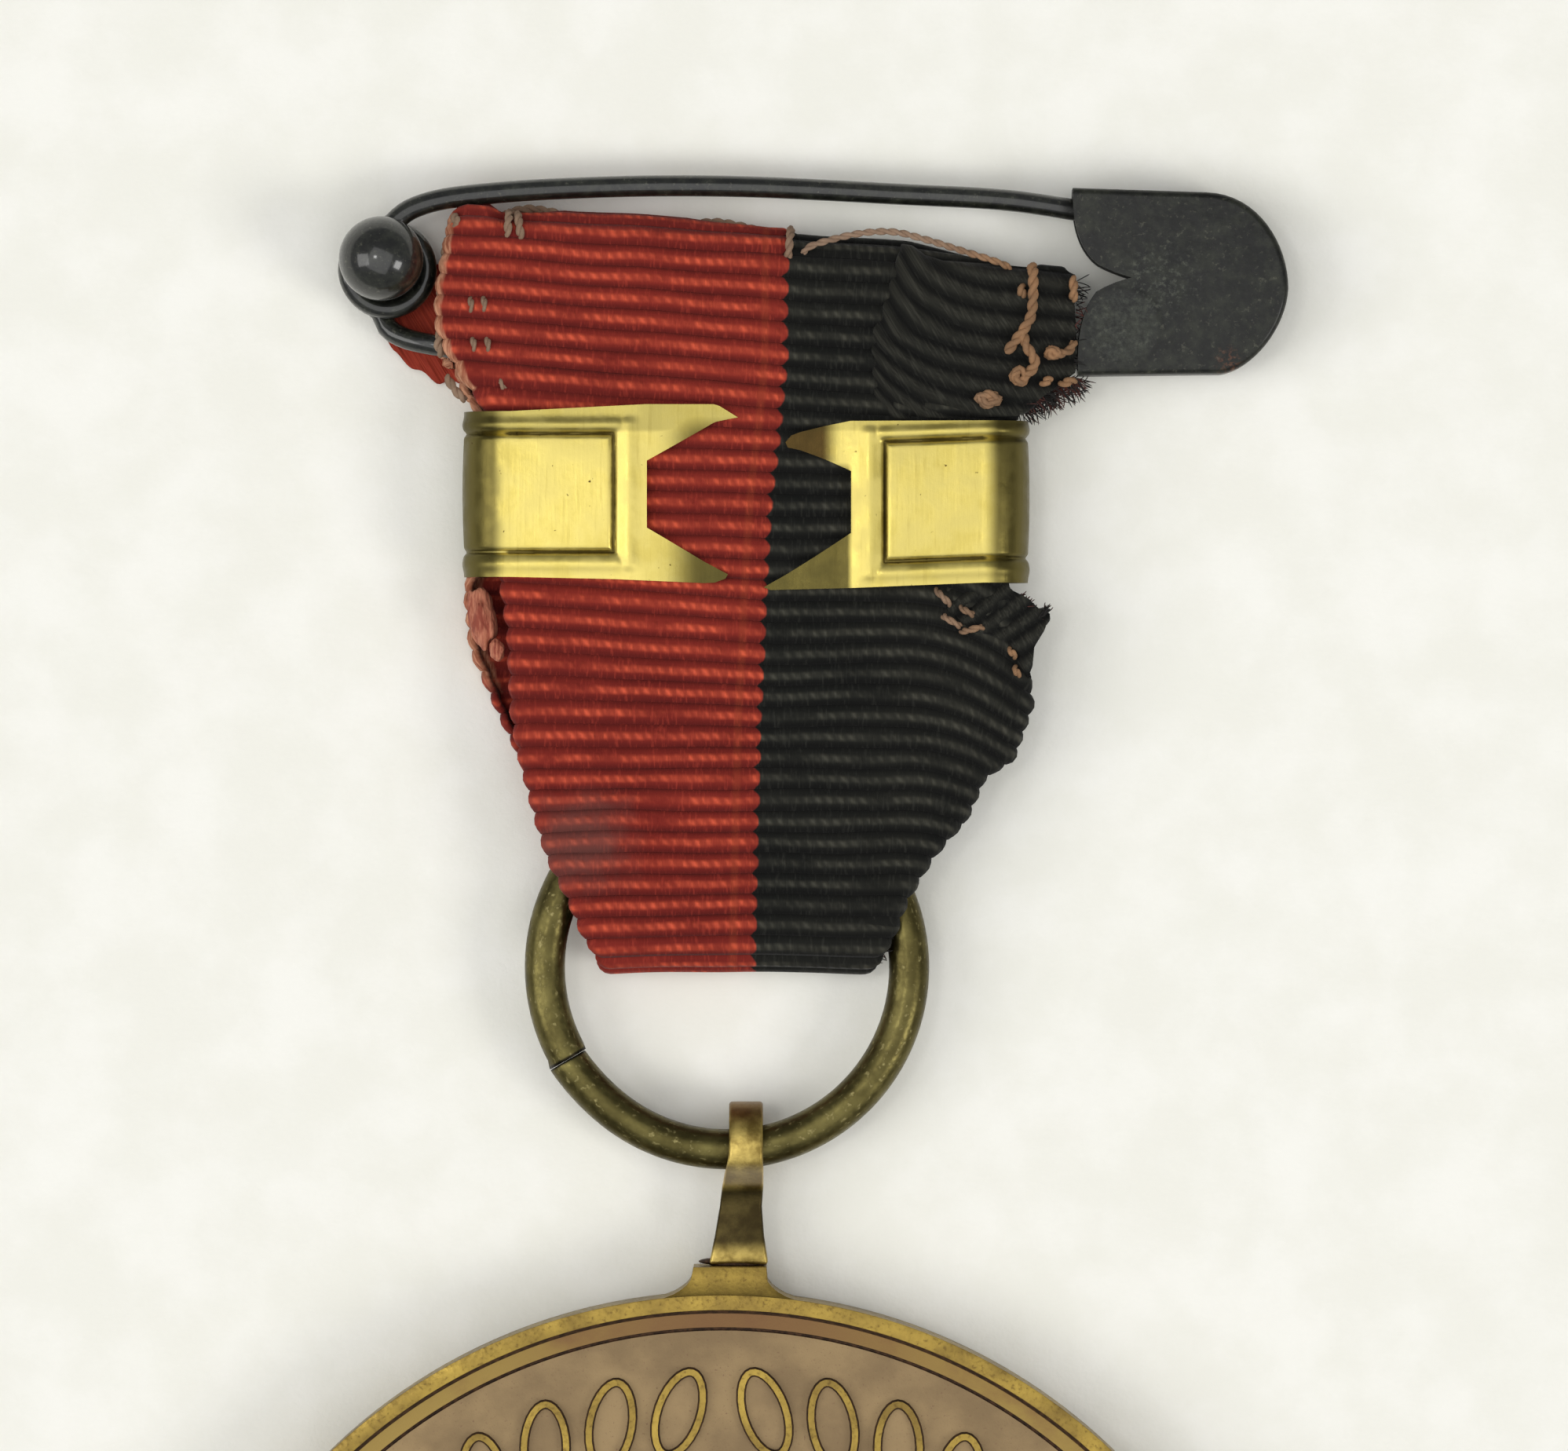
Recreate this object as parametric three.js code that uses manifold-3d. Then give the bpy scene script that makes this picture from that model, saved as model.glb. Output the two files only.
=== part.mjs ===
// Service medal on a ribbon with a safety-pin brooch, lying face up.
// Millimetres. +X runs to the right of the face, +Y from the disc up to the pin,
// +Z out of the face. The origin is the centre of the disc's back.
import * as THREE from 'three';
import { mergeVertices } from 'three/addons/utils/BufferGeometryUtils.js';
import Module from 'manifold-3d';

const wasm = await Module();
wasm.setup();

// ---- driving dimensions ----
const DISC_R = 15.875;         // a disc of 1 1/4 inch
const DISC_T = 2.7;            // over both rims
const RIM_TOP_R = 15.45;       // inner edge of the flat rim
const RIM_FOOT_R = 14.95;      // foot of the slope inside the rim
const FRONT_FIELD_Z = 2.15;
const BACK_FIELD_Z = 0.4;
const ROUNDEL_R = 4.5;         // plain roundel in the middle of the back
const TANG_TOP_Y = 16.65;
const TANG_Z = [0.5, 2.1];

const RING_X = 0.14;
const RING_Y = 25.04;
const RING_MEAN_R = 5.12;
const RING_WIRE_R = 0.585;
const RING_Z = 1.4;
const RING_SPLIT_DEG = 210;
const RING_SPLIT_GAP = 0.15;

const BAIL_STRIP = 0.45;       // thickness of the bail's strip
const BAIL_CLEAR = 0.3;        // between the bail's eye and the ring's wire
const BAIL_SHANK_Z = [0.7, 2.1];
const JOINT_GAP = 0.05;        // between faces that are soldered

const RIBBON_T = 0.4;
const LOOP_FOLD_Y = 25.5;      // foot of the lower fold
const LOOP_TOP_Y = 31.2;
const LOOP_Z = [0.05, 2.75];
const UPPER_FOOT_Y = 31.9;
const SLEEVE_Z = [0.35, 2.15];
const NECK_Z = [0.75, 1.85];   // the layers where the bar grips them

const BAR_X = [-7.25, 8.6];
const BAR_Y = [35.8, 40.75];
const BAR_Z = [0.05, 2.85];
const BAR_T = 0.45;
const BAR_BEND_R = 1.3;

const PIN_WIRE_R = 0.3;
const PIN_Z = 1.2;
const PIN_AXIS_Y = 42.4;       // the straight arm, which the brooch turns on
const COIL_X = -9.45;
const COIL_Y = 44.95;
const COIL_R = 1.15;
const COIL_WIRE_R = 0.28;
const COIL_Z = [0.58, 1.49];   // at the fixed arm and at the needle
const BALL_R = 1.3;
const BALL_Z = 2.1;
const BALL_CUT_Z = 1.9;
const RIVET_SHANK_R = 0.55;
const CAP_Z = [0.3, 2.1];
const CAP_SHEET = 0.3;

const THREAD_R = 0.1;
const THREAD_Z = 2.36;

// ---- geometry helpers ----
const RAD = Math.PI / 180;

function shapeOf(points) {
  const shape = new THREE.Shape();
  shape.setFromPoints(points.map(([x, y]) => new THREE.Vector2(x, y)));
  return shape;
}

// A flat outline in the XY plane, raised from zLow to zHigh.
function slab(shape, zLow, zHigh, curveSegments = 8) {
  const geometry = new THREE.ExtrudeGeometry(shape, {
    depth: zHigh - zLow, bevelEnabled: false, curveSegments,
  });
  return geometry.translate(0, 0, zLow);
}

// A section drawn as (y, z), run from xLow to xHigh.
function runAlongX(shape, xLow, xHigh, curveSegments = 8) {
  const geometry = new THREE.ExtrudeGeometry(shape, {
    depth: xHigh - xLow, bevelEnabled: false, curveSegments,
  });
  const turn = new THREE.Matrix4().makeBasis(
    new THREE.Vector3(0, 1, 0), new THREE.Vector3(0, 0, 1), new THREE.Vector3(1, 0, 0));
  return geometry.applyMatrix4(turn).translate(xLow, 0, 0);
}

// A section drawn as (x, z), run from yLow to yHigh.
function runAlongY(shape, yLow, yHigh, curveSegments = 8) {
  const geometry = new THREE.ExtrudeGeometry(shape, {
    depth: yHigh - yLow, bevelEnabled: false, curveSegments,
  });
  const turn = new THREE.Matrix4().makeBasis(
    new THREE.Vector3(1, 0, 0), new THREE.Vector3(0, 0, 1), new THREE.Vector3(0, -1, 0));
  return geometry.applyMatrix4(turn).translate(0, yHigh, 0);
}

function toSolid(geometry) {
  const plain = geometry.clone();
  plain.deleteAttribute('normal');
  plain.deleteAttribute('uv');
  const merged = mergeVertices(plain, 1e-5);
  return new wasm.Manifold(new wasm.Mesh({
    numProp: 3,
    vertProperties: new Float32Array(merged.attributes.position.array),
    triVerts: new Uint32Array(merged.index.array),
  }));
}

function toGeometry(solid) {
  const mesh = solid.getMesh();
  const geometry = new THREE.BufferGeometry();
  geometry.setAttribute('position', new THREE.BufferAttribute(
    new Float32Array(mesh.vertProperties), 3));
  geometry.setIndex(new THREE.BufferAttribute(new Uint32Array(mesh.triVerts), 1));
  geometry.computeVertexNormals();
  return geometry;
}

// An arc or helix about a vertical axis, from one height to another.
class Turn extends THREE.Curve {
  constructor(centre, radius, startDeg, sweepDeg, zStart, zEnd) {
    super();
    Object.assign(this, { centre, radius, startDeg, sweepDeg, zStart, zEnd });
  }

  getPoint(t, target = new THREE.Vector3()) {
    const angle = (this.startDeg + t * this.sweepDeg) * RAD;
    return target.set(
      this.centre[0] + this.radius * Math.cos(angle),
      this.centre[1] + this.radius * Math.sin(angle),
      this.zStart + t * (this.zEnd - this.zStart));
  }
}

function wire(curve, radius, steps, halfSides = 4) {
  const section = new THREE.Shape();
  section.absarc(0, 0, radius, 0, 2 * Math.PI);
  return new THREE.ExtrudeGeometry(section, {
    steps, extrudePath: curve, bevelEnabled: false, curveSegments: halfSides,
  });
}

function smoothPath(points) {
  return new THREE.CatmullRomCurve3(points.map((p) => new THREE.Vector3(...p)));
}

// ---- materials ----
function finish(color, roughness, metalness) {
  return new THREE.MeshStandardMaterial({ color, roughness, metalness });
}
const bronze = () => finish(0x96785a, 0.45, 0.9);
const antiqueBrass = () => finish(0x6f6638, 0.4, 0.9);
const pressedBrass = () => finish(0xc0aa3c, 0.3, 0.95);
const blackEnamel = () => finish(0x232624, 0.35, 0.2);
const redRibbon = () => finish(0xa82c22, 0.85, 0);
const blackRibbon = () => finish(0x1d1d1b, 0.85, 0);
const tanThread = () => finish(0xbe8264, 0.9, 0);

// ---- the struck disc, with the tang that stands on its rim ----
function medalDisc() {
  const half = [
    [0, 0], [ROUNDEL_R, 0], [ROUNDEL_R + 0.2, BACK_FIELD_Z], [14.6, BACK_FIELD_Z],
    [14.9, 0], [15.6, 0], [DISC_R, 0.25], [DISC_R, DISC_T - 0.2], [15.7, DISC_T],
    [RIM_TOP_R, DISC_T], [RIM_FOOT_R, FRONT_FIELD_Z], [0, FRONT_FIELD_Z],
  ].map(([r, z]) => new THREE.Vector2(r, z));
  const plate = new THREE.LatheGeometry(half, 72).rotateX(Math.PI / 2);
  const tang = new THREE.Shape();
  tang.moveTo(-2.6, 14.9);
  tang.lineTo(-2.6, 15.6);
  tang.quadraticCurveTo(-0.8, 15.95, -0.65, TANG_TOP_Y);
  tang.lineTo(1.15, TANG_TOP_Y);
  tang.quadraticCurveTo(1.3, 15.95, 2.9, 15.55);
  tang.lineTo(2.9, 14.9);
  tang.closePath();
  return toGeometry(toSolid(plate).add(toSolid(slab(tang, ...TANG_Z, 5))));
}

// ---- the bail: an eye round the ring's wire, with a shank down to the tang ----
function bail() {
  const eyeY = RING_Y - RING_MEAN_R;
  const inner = RING_WIRE_R + BAIL_CLEAR;
  const outer = inner + BAIL_STRIP;
  const side = new THREE.Shape();
  side.moveTo(TANG_TOP_Y + JOINT_GAP, BAIL_SHANK_Z[0]);
  side.lineTo(eyeY - 1.6, BAIL_SHANK_Z[0]);
  side.lineTo(eyeY - 0.9, RING_Z - outer * 0.74);
  side.absarc(eyeY, RING_Z, outer, -132 * RAD, 132 * RAD, false);
  side.lineTo(eyeY - 1.6, BAIL_SHANK_Z[1]);
  side.lineTo(TANG_TOP_Y + JOINT_GAP, BAIL_SHANK_Z[1]);
  side.closePath();
  const eye = new THREE.Path();
  eye.absarc(eyeY, RING_Z, inner, 0, 2 * Math.PI, true);
  side.holes.push(eye);
  const front = shapeOf([
    [-0.35, 16.6], [1.3, 16.6], [1.3, 17.0], [1.1, 17.9], [1.2, 18.8], [1.15, 19.3],
    [1.15, 21.4], [0.2, 21.4], [0.2, 19.8], [0, 19.0], [-0.1, 18.0], [-0.35, 17.0],
  ]);
  const strip = toSolid(runAlongX(side, -0.6, 1.6, 12));
  return toGeometry(strip.intersect(toSolid(slab(front, 0, 3))));
}

// ---- the split ring ----
function splitRing() {
  const gapDeg = RING_SPLIT_GAP / RING_MEAN_R / RAD;
  const turn = new Turn([RING_X, RING_Y], RING_MEAN_R,
    RING_SPLIT_DEG + gapDeg / 2, 360 - gapDeg, RING_Z, RING_Z);
  return wire(turn, RING_WIRE_R, 48, 5);
}

// ---- the ribbon ----
// The lower fold: one layer in front of the ring's arc and one behind it.
function ribbonLoop() {
  const [back, front] = LOOP_Z;
  const side = shapeOf([
    [LOOP_FOLD_Y, back + 0.4], [LOOP_FOLD_Y + 0.3, back], [LOOP_TOP_Y, back],
    [LOOP_TOP_Y, back + RIBBON_T], [LOOP_FOLD_Y + RIBBON_T, back + RIBBON_T],
    [LOOP_FOLD_Y + RIBBON_T, front - RIBBON_T], [LOOP_TOP_Y, front - RIBBON_T],
    [LOOP_TOP_Y, front], [LOOP_FOLD_Y + 0.3, front], [LOOP_FOLD_Y, front - 0.4],
  ]);
  const outline = shapeOf([
    [-3.5, LOOP_FOLD_Y - 0.5], [4.1, LOOP_FOLD_Y - 0.5], [4.3, 26.2], [5.3, 27.6],
    [6.4, 29.4], [7.7, LOOP_TOP_Y + 0.5], [-5.7, LOOP_TOP_Y + 0.5], [-5.3, 29.4],
    [-4.6, 27.6], [-3.9, 26.2],
  ]);
  const folded = toSolid(runAlongX(side, -8, 9));
  return toGeometry(folded.intersect(toSolid(slab(outline, -1, 4))));
}

// The upper part: the neck inside the bar, then the sleeve round the pin's straight arm.
function ribbonUpper() {
  const side = shapeOf([
    [UPPER_FOOT_Y, 0.4], [34.6, 0.5], [35.2, NECK_Z[0]], [41.1, NECK_Z[0]],
    [41.5, SLEEVE_Z[0]], [46, SLEEVE_Z[0]], [46, SLEEVE_Z[1]], [41.5, SLEEVE_Z[1]],
    [41.1, NECK_Z[1]], [35.2, NECK_Z[1]], [34.6, 2.0], [UPPER_FOOT_Y, 2.1],
  ]);
  const outline = shapeOf([
    [-5.8, UPPER_FOOT_Y - 1], [7.9, UPPER_FOOT_Y - 1], [8.2, 33.2], [8.4, 34.8],
    [7.8, 35.4], [7.8, 41.0], [8.6, 41.4], [9.4, 42], [9.4, 44.5], [7.2, 44.75],
    [5.6, 45.3], [1.8, 45.45], [-2, 45.75], [-7.3, 45.8], [-7.8, 43.6], [-7.8, 42.2],
    [-7.1, 41.2], [-6.4, 41.0], [-6.4, 35.4], [-6.6, 34.8], [-6.1, 32.8],
  ]);
  const channel = shapeOf([
    [41.9, 0.65], [45.1, 0.65], [45.1, 1.75], [41.9, 1.75],
  ]);
  const cloth = toSolid(runAlongX(side, -10, 11)).intersect(toSolid(slab(outline, -1, 4)));
  return toGeometry(cloth.subtract(toSolid(runAlongX(channel, -11, 12))));
}

// The end of the back layer, which shows beside the sleeve under the pin's arm.
function ribbonUnderFlap() {
  return slab(shapeOf([
    [-9.3, 43.4], [-9.4, 42.6], [-8.7, 41.9], [-7.2, 41.7], [-7.0, 43.2],
  ]), 0.03, 0.2);
}

// The turned corner of the pleat, on the front below the bar.
function ribbonSideFlap() {
  return slab(shapeOf([
    [5.9, 35.3], [6.6, 34.2], [7.6, 33.2], [8.3, 33.6], [9.0, 34.9], [8.7, 35.3],
  ]), 2.15, 2.4);
}

// ---- the brass bar: one band bent round both edges of the ribbon ----
function ribbonBar() {
  const band = new THREE.Shape();
  const [left, right] = BAR_X;
  const [low, high] = BAR_Z;
  const r = BAR_BEND_R;
  band.moveTo(left + r, low);
  band.lineTo(right - r, low);
  band.absarc(right - r, low + r, r, -90 * RAD, 0, false);
  band.absarc(right - r, high - r, r, 0, 90 * RAD, false);
  band.lineTo(left + r, high);
  band.absarc(left + r, high - r, r, 90 * RAD, 180 * RAD, false);
  band.absarc(left + r, low + r, r, 180 * RAD, 270 * RAD, false);
  const inside = new THREE.Path();
  const ri = r - BAR_T;
  inside.moveTo(left + r, low + BAR_T);
  inside.absarc(left + r, low + r, ri, 270 * RAD, 180 * RAD, true);
  inside.absarc(left + r, high - r, ri, 180 * RAD, 90 * RAD, true);
  inside.lineTo(right - r, high - BAR_T);
  inside.absarc(right - r, high - r, ri, 90 * RAD, 0, true);
  inside.absarc(right - r, low + r, ri, 0, -90 * RAD, true);
  band.holes.push(inside);
  // The swallow-tail ends point at each other across the opening.
  const opening = shapeOf([
    [0.45, 42], [0.45, 40.5], [-2.1, 39.25], [-2.1, 37.45], [0.15, 36.1], [0.15, 35],
    [1.15, 35], [1.15, 35.9], [3.65, 37.2], [3.65, 38.9], [1.75, 39.8], [1.75, 42],
  ]);
  const closed = toSolid(runAlongY(band, ...BAR_Y, 4));
  return toGeometry(closed.subtract(toSolid(slab(opening, high - BAR_T - 0.2, high + 1))));
}

// ---- the safety pin ----
function pinFixedArm() {
  return wire(smoothPath([
    [-9.86, 43.7, 0.6], [-9.5, 43.15, 0.68], [-9.0, 42.82, 0.85], [-8.5, 42.6, 1.05],
    [-8.0, 42.45, 1.18], [-7.2, PIN_AXIS_Y, PIN_Z], [-4, PIN_AXIS_Y, PIN_Z],
    [0, PIN_AXIS_Y, PIN_Z], [5, PIN_AXIS_Y, PIN_Z], [11.6, PIN_AXIS_Y, PIN_Z],
  ]), PIN_WIRE_R, 28);
}

function springCoil() {
  return wire(new Turn([COIL_X, COIL_Y], COIL_R, -122, -498, COIL_Z[0], COIL_Z[1]),
    COIL_WIRE_R, 44);
}

function pinNeedle() {
  return wire(smoothPath([
    [-8.98, 46.2, 1.47], [-8.0, 46.58, 1.42], [-7, 46.74, 1.36], [-5, 46.9, 1.3],
    [-2, 47.0, 1.24], [1, 46.97, PIN_Z], [5, 46.77, PIN_Z], [8, 46.6, PIN_Z],
    [10.5, 46.25, PIN_Z], [12.6, 46.1, PIN_Z],
  ]), PIN_WIRE_R, 24);
}

// A ball head on a shank that passes down through the coil.
function ballRivet() {
  const cutAngle = Math.asin((BALL_CUT_Z - BALL_Z) / BALL_R);
  const cutR = BALL_R * Math.cos(cutAngle);
  const half = [[0, 0.1], [RIVET_SHANK_R, 0.1], [RIVET_SHANK_R, BALL_CUT_Z], [cutR, BALL_CUT_Z]];
  const steps = 8;
  for (let i = 1; i < steps; i += 1) {
    const angle = cutAngle + (Math.PI / 2 - cutAngle) * i / steps;
    half.push([BALL_R * Math.cos(angle), BALL_Z + BALL_R * Math.sin(angle)]);
  }
  half.push([0, BALL_Z + BALL_R]);
  const points = half.map(([r, z]) => new THREE.Vector2(r, z));
  return new THREE.LatheGeometry(points, 24).rotateX(Math.PI / 2).translate(COIL_X, COIL_Y, 0);
}

// The guard: sheet folded over its top, round its end and under the straight arm.
function guardCap() {
  const outline = new THREE.Shape();
  outline.moveTo(9.85, 46.92);
  outline.quadraticCurveTo(9.8, 45.3, 10.6, 44.75);
  outline.lineTo(11.5, 44.35);
  outline.lineTo(10.5, 44.0);
  outline.quadraticCurveTo(9.9, 43.2, 10.0, 41.65);
  outline.lineTo(14.0, 41.7);
  outline.bezierCurveTo(14.9, 41.8, 15.85, 43.0, 15.9, 44.1);
  outline.bezierCurveTo(15.9, 45.3, 15.1, 46.75, 13.6, 46.8);
  outline.closePath();
  const hollow = new THREE.Shape();
  hollow.moveTo(9, 46.58);
  hollow.lineTo(9, 41.95);
  hollow.lineTo(13.9, 42.0);
  hollow.bezierCurveTo(14.7, 42.1, 15.5, 43.2, 15.55, 44.1);
  hollow.bezierCurveTo(15.5, 45.1, 14.9, 46.4, 13.5, 46.48);
  hollow.closePath();
  const solid = toSolid(slab(outline, ...CAP_Z, 6));
  const cavity = toSolid(slab(hollow, CAP_Z[0] + CAP_SHEET, CAP_Z[1] - CAP_SHEET, 6));
  return toGeometry(solid.subtract(cavity));
}

// ---- sewing thread ----
// Each length lies on the cloth's face, so one height serves all its points.
function threadLength(points, z = THREAD_Z) {
  return wire(smoothPath(points.map(([x, y]) => [x, y, z])), THREAD_R, 2 * points.length + 2);
}

function knot([x, y], [width, height], z = 2.55) {
  return new THREE.SphereGeometry(0.5, 10, 6).scale(width, height, 0.4).translate(x, y, z);
}

// ---- the assembly ----
const group = new THREE.Group();

function addPart(name, geometry, material) {
  const mesh = new THREE.Mesh(geometry, material);
  mesh.name = name;
  group.add(mesh);
}

addPart('medal_disc', medalDisc(), bronze());
addPart('bail', bail(), bronze());
addPart('split_ring', splitRing(), antiqueBrass());
addPart('ribbon_loop', ribbonLoop(), redRibbon());
addPart('ribbon_upper', ribbonUpper(), redRibbon());
addPart('ribbon_under_flap', ribbonUnderFlap(), redRibbon());
addPart('ribbon_side_flap', ribbonSideFlap(), blackRibbon());
addPart('ribbon_bar', ribbonBar(), pressedBrass());
addPart('pin_fixed_arm', pinFixedArm(), blackEnamel());
addPart('spring_coil', springCoil(), blackEnamel());
addPart('pin_needle', pinNeedle(), blackEnamel());
addPart('ball_rivet', ballRivet(), blackEnamel());
addPart('guard_cap', guardCap(), blackEnamel());

const threads = {
  thread_loose: [[2.3, 45.05], [3, 45.2], [4, 45.15], [5, 45.05], [6, 44.9], [7, 44.6], [7.8, 44.4]],
  thread_tail: [[8.7, 44.3], [8.75, 43.5], [8.5, 43.0], [8.15, 42.6], [8.1, 42.4]],
  thread_hook: [[8.4, 42.1], [8.7, 41.95], [8.55, 41.75]],
  stitch_top_left: [[-6.1, 45.7], [-6, 45.4], [-5.95, 45.1]],
  stitch_top_inner: [[-5.6, 45.7], [-5.65, 45.4], [-5.55, 45.1]],
  stitch_top_middle: [[1.75, 45.3], [1.85, 45.1], [1.85, 44.8]],
};
for (const [name, points] of Object.entries(threads)) {
  addPart(name, threadLength(points), tanThread());
}

const flapStitches = [
  [[6.15, 35.15], [6.35, 35.0], [6.5, 34.85]],
  [[6.8, 34.8], [7.0, 34.7], [7.3, 34.75]],
  [[7.9, 34.1], [8.05, 33.95], [8.1, 33.75]],
];
flapStitches.forEach((points, i) => {
  addPart(`stitch_flap_${i + 1}`, threadLength(points, 2.6), tanThread());
});

addPart('knot_upper', knot([8.25, 41.45], [0.7, 0.55]), tanThread());
addPart('knot_lower', knot([7.3, 41.15], [0.8, 0.5]), tanThread());

export default group;
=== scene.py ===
import math
import random

import bpy
import numpy as np
from mathutils import Matrix, Vector, noise


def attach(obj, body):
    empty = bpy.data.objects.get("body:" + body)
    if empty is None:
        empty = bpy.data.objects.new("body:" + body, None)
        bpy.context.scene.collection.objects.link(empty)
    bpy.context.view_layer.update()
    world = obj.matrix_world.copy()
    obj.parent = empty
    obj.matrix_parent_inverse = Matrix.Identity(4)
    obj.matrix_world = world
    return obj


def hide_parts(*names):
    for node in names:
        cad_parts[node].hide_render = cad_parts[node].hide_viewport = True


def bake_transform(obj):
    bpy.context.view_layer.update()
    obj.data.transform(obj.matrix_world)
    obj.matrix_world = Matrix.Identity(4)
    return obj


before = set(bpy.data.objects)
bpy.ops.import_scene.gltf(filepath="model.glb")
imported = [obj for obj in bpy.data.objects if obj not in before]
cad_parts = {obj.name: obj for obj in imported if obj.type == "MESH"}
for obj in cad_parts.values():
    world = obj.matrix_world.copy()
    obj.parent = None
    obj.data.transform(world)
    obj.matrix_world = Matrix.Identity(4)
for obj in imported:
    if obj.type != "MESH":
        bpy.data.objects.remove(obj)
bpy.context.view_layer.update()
bpy.ops.object.select_all(action="DESELECT")
MM = 0.001

# ---------------------------------------------------------------------------
# The camera looks straight down on the medal, which lies on a sheet of pale paper.
# A large soft box hangs over it and two stand at its sides, so that every edge has only
# a faint shadow, and one bare lamp beside the camera puts the small glints on the metal.
# ---------------------------------------------------------------------------
LENS, SENSOR = 300.0, 36.0
VIEW_WIDTH = 44.12 * MM
LOOK_AT = Vector((1.742, 31.83, 1.0)) * MM
camera_data = bpy.data.cameras.new("camera")
camera_data.lens, camera_data.sensor_width = LENS, SENSOR
camera_data.clip_start, camera_data.clip_end = 0.02, 20.0
camera = bpy.data.objects.new("camera", camera_data)
bpy.context.scene.collection.objects.link(camera)
camera.location = LOOK_AT + Vector((0, 0, VIEW_WIDTH * LENS / SENSOR))
bpy.context.scene.camera = camera
bpy.context.scene.view_settings.view_transform = "Standard"


def soft_box(name, place, size, watts, tint):
    lamp = bpy.data.lights.new(name, "AREA")
    lamp.shape, lamp.size, lamp.size_y = "RECTANGLE", size[0], size[1]
    lamp.energy, lamp.color = watts, tint
    box = bpy.data.objects.new(name, lamp)
    bpy.context.scene.collection.objects.link(box)
    box.location = place
    box.rotation_euler = (Vector((0, 0.03, 0)) - Vector(place)).to_track_quat("-Z", "Y").to_euler()


soft_box("soft_box_left", (-1.3, -0.1, 1.1), (0.9, 1.0), 9.0, (1.0, 0.99, 0.96))
soft_box("soft_box_right", (1.3, -0.5, 1.1), (0.6, 0.6), 9.5, (1.0, 0.99, 0.96))
soft_box("soft_box_over", (-0.1, -0.2, 1.6), (2.0, 2.0), 15.5, (1.0, 0.995, 0.98))
soft_box("bare_lamp", (-0.42, 0.12, 1.6), (0.2, 0.2), 1.6, (1.0, 0.99, 0.97))
world = bpy.data.worlds.new("room")
bpy.context.scene.world = world
world.use_nodes = True
world.node_tree.nodes["Background"].inputs["Color"].default_value = (0.93, 0.95, 1.0, 1)
world.node_tree.nodes["Background"].inputs["Strength"].default_value = 0.26


class Value:
    """A socket inside one finish. Arithmetic on it adds Math nodes there."""

    def __init__(self, finish, socket):
        self.finish, self.socket = finish, socket

    def maths(self, operation, first, second):
        return self.finish.node("Math", {"operation": operation}, {0: first, 1: second})

    def __add__(self, other):
        return self.maths("ADD", self, other)

    def __sub__(self, other):
        return self.maths("SUBTRACT", self, other)

    def __mul__(self, other):
        return self.maths("MULTIPLY", self, other)

    def __lt__(self, other):
        return self.maths("LESS_THAN", self, other)

    def __radd__(self, other):
        return self.maths("ADD", other, self)

    def __rsub__(self, other):
        return self.maths("SUBTRACT", other, self)

    def __rmul__(self, other):
        return self.maths("MULTIPLY", other, self)

    def unsigned(self):
        return self.maths("ABSOLUTE", self, 0)

    def or_larger(self, other):
        return self.maths("MAXIMUM", self, other)


class Finish:
    """One material. Its place is measured in millimetres on the piece."""

    def __init__(self, name):
        self.material = bpy.data.materials.new(name)
        self.material.use_nodes = True
        self.tree = self.material.node_tree
        self.shader = self.tree.nodes["Principled BSDF"]
        metres = self.node("TexCoord", out="Object")
        self.place = self.node("VectorMath", {"operation": "SCALE"}, {0: metres, "Scale": 1 / MM})

    def plug(self, socket, value):
        if isinstance(value, Value):
            self.tree.links.new(value.socket, socket)
        else:
            socket.default_value = value

    def node(self, kind, settings=None, sockets=None, out=0):
        made = self.tree.nodes.new("ShaderNode" + kind)
        for key, value in (settings or {}).items():
            setattr(made, key, value)
        for key, value in (sockets or {}).items():
            self.plug(made.inputs[key], value)
        return Value(self, made.outputs[out])

    def shade(self, **sockets):
        for key, value in sockets.items():
            self.plug(self.shader.inputs[key.replace("_", " ")], value)

    def along(self, axis, vector=None):
        """One axis of a vector, or else of the place on the piece."""
        return self.node("SeparateXYZ", None, {0: vector or self.place}, out=axis)

    def away_from(self, x, y, z=None):
        """Millimetres from a point, or with no z from an upright line."""
        place = self.place
        if z is None:
            place = self.node("VectorMath", {"operation": "MULTIPLY"}, {0: place, 1: (1, 1, 0)})
        return self.node(
            "VectorMath", {"operation": "DISTANCE"}, {0: place, 1: (x, y, z or 0)}, out="Value")

    def noise(self, per_mm, detail=3.0, roughness=0.55, place=None):
        return self.node("TexNoise", None, {
            "Vector": place or self.place, "Scale": per_mm, "Detail": detail, "Roughness": roughness})

    def ease(self, value, low, high):
        """0 below low, 1 above high, smooth between."""
        return self.node("MapRange", {"interpolation_type": "SMOOTHSTEP"}, {
            "Value": value, "From Min": low, "From Max": high})

    def mix(self, mask, first, second):
        return self.node("Mix", {"data_type": "RGBA"}, {0: mask, 6: first, 7: second}, out=2)

    def bump(self, height, rise_mm, strength=1.0):
        self.shade(Normal=self.node("Bump", None, {
            "Height": height, "Distance": rise_mm * MM, "Strength": strength}))


def paint(red, green, blue):
    """A colour given from 0 to 255, made linear as the shader wants it."""
    def linear(c):
        c /= 255
        return c / 12.92 if c <= 0.04045 else ((c + 0.055) / 1.055) ** 2.4
    return (linear(red), linear(green), linear(blue), 1.0)


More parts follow.
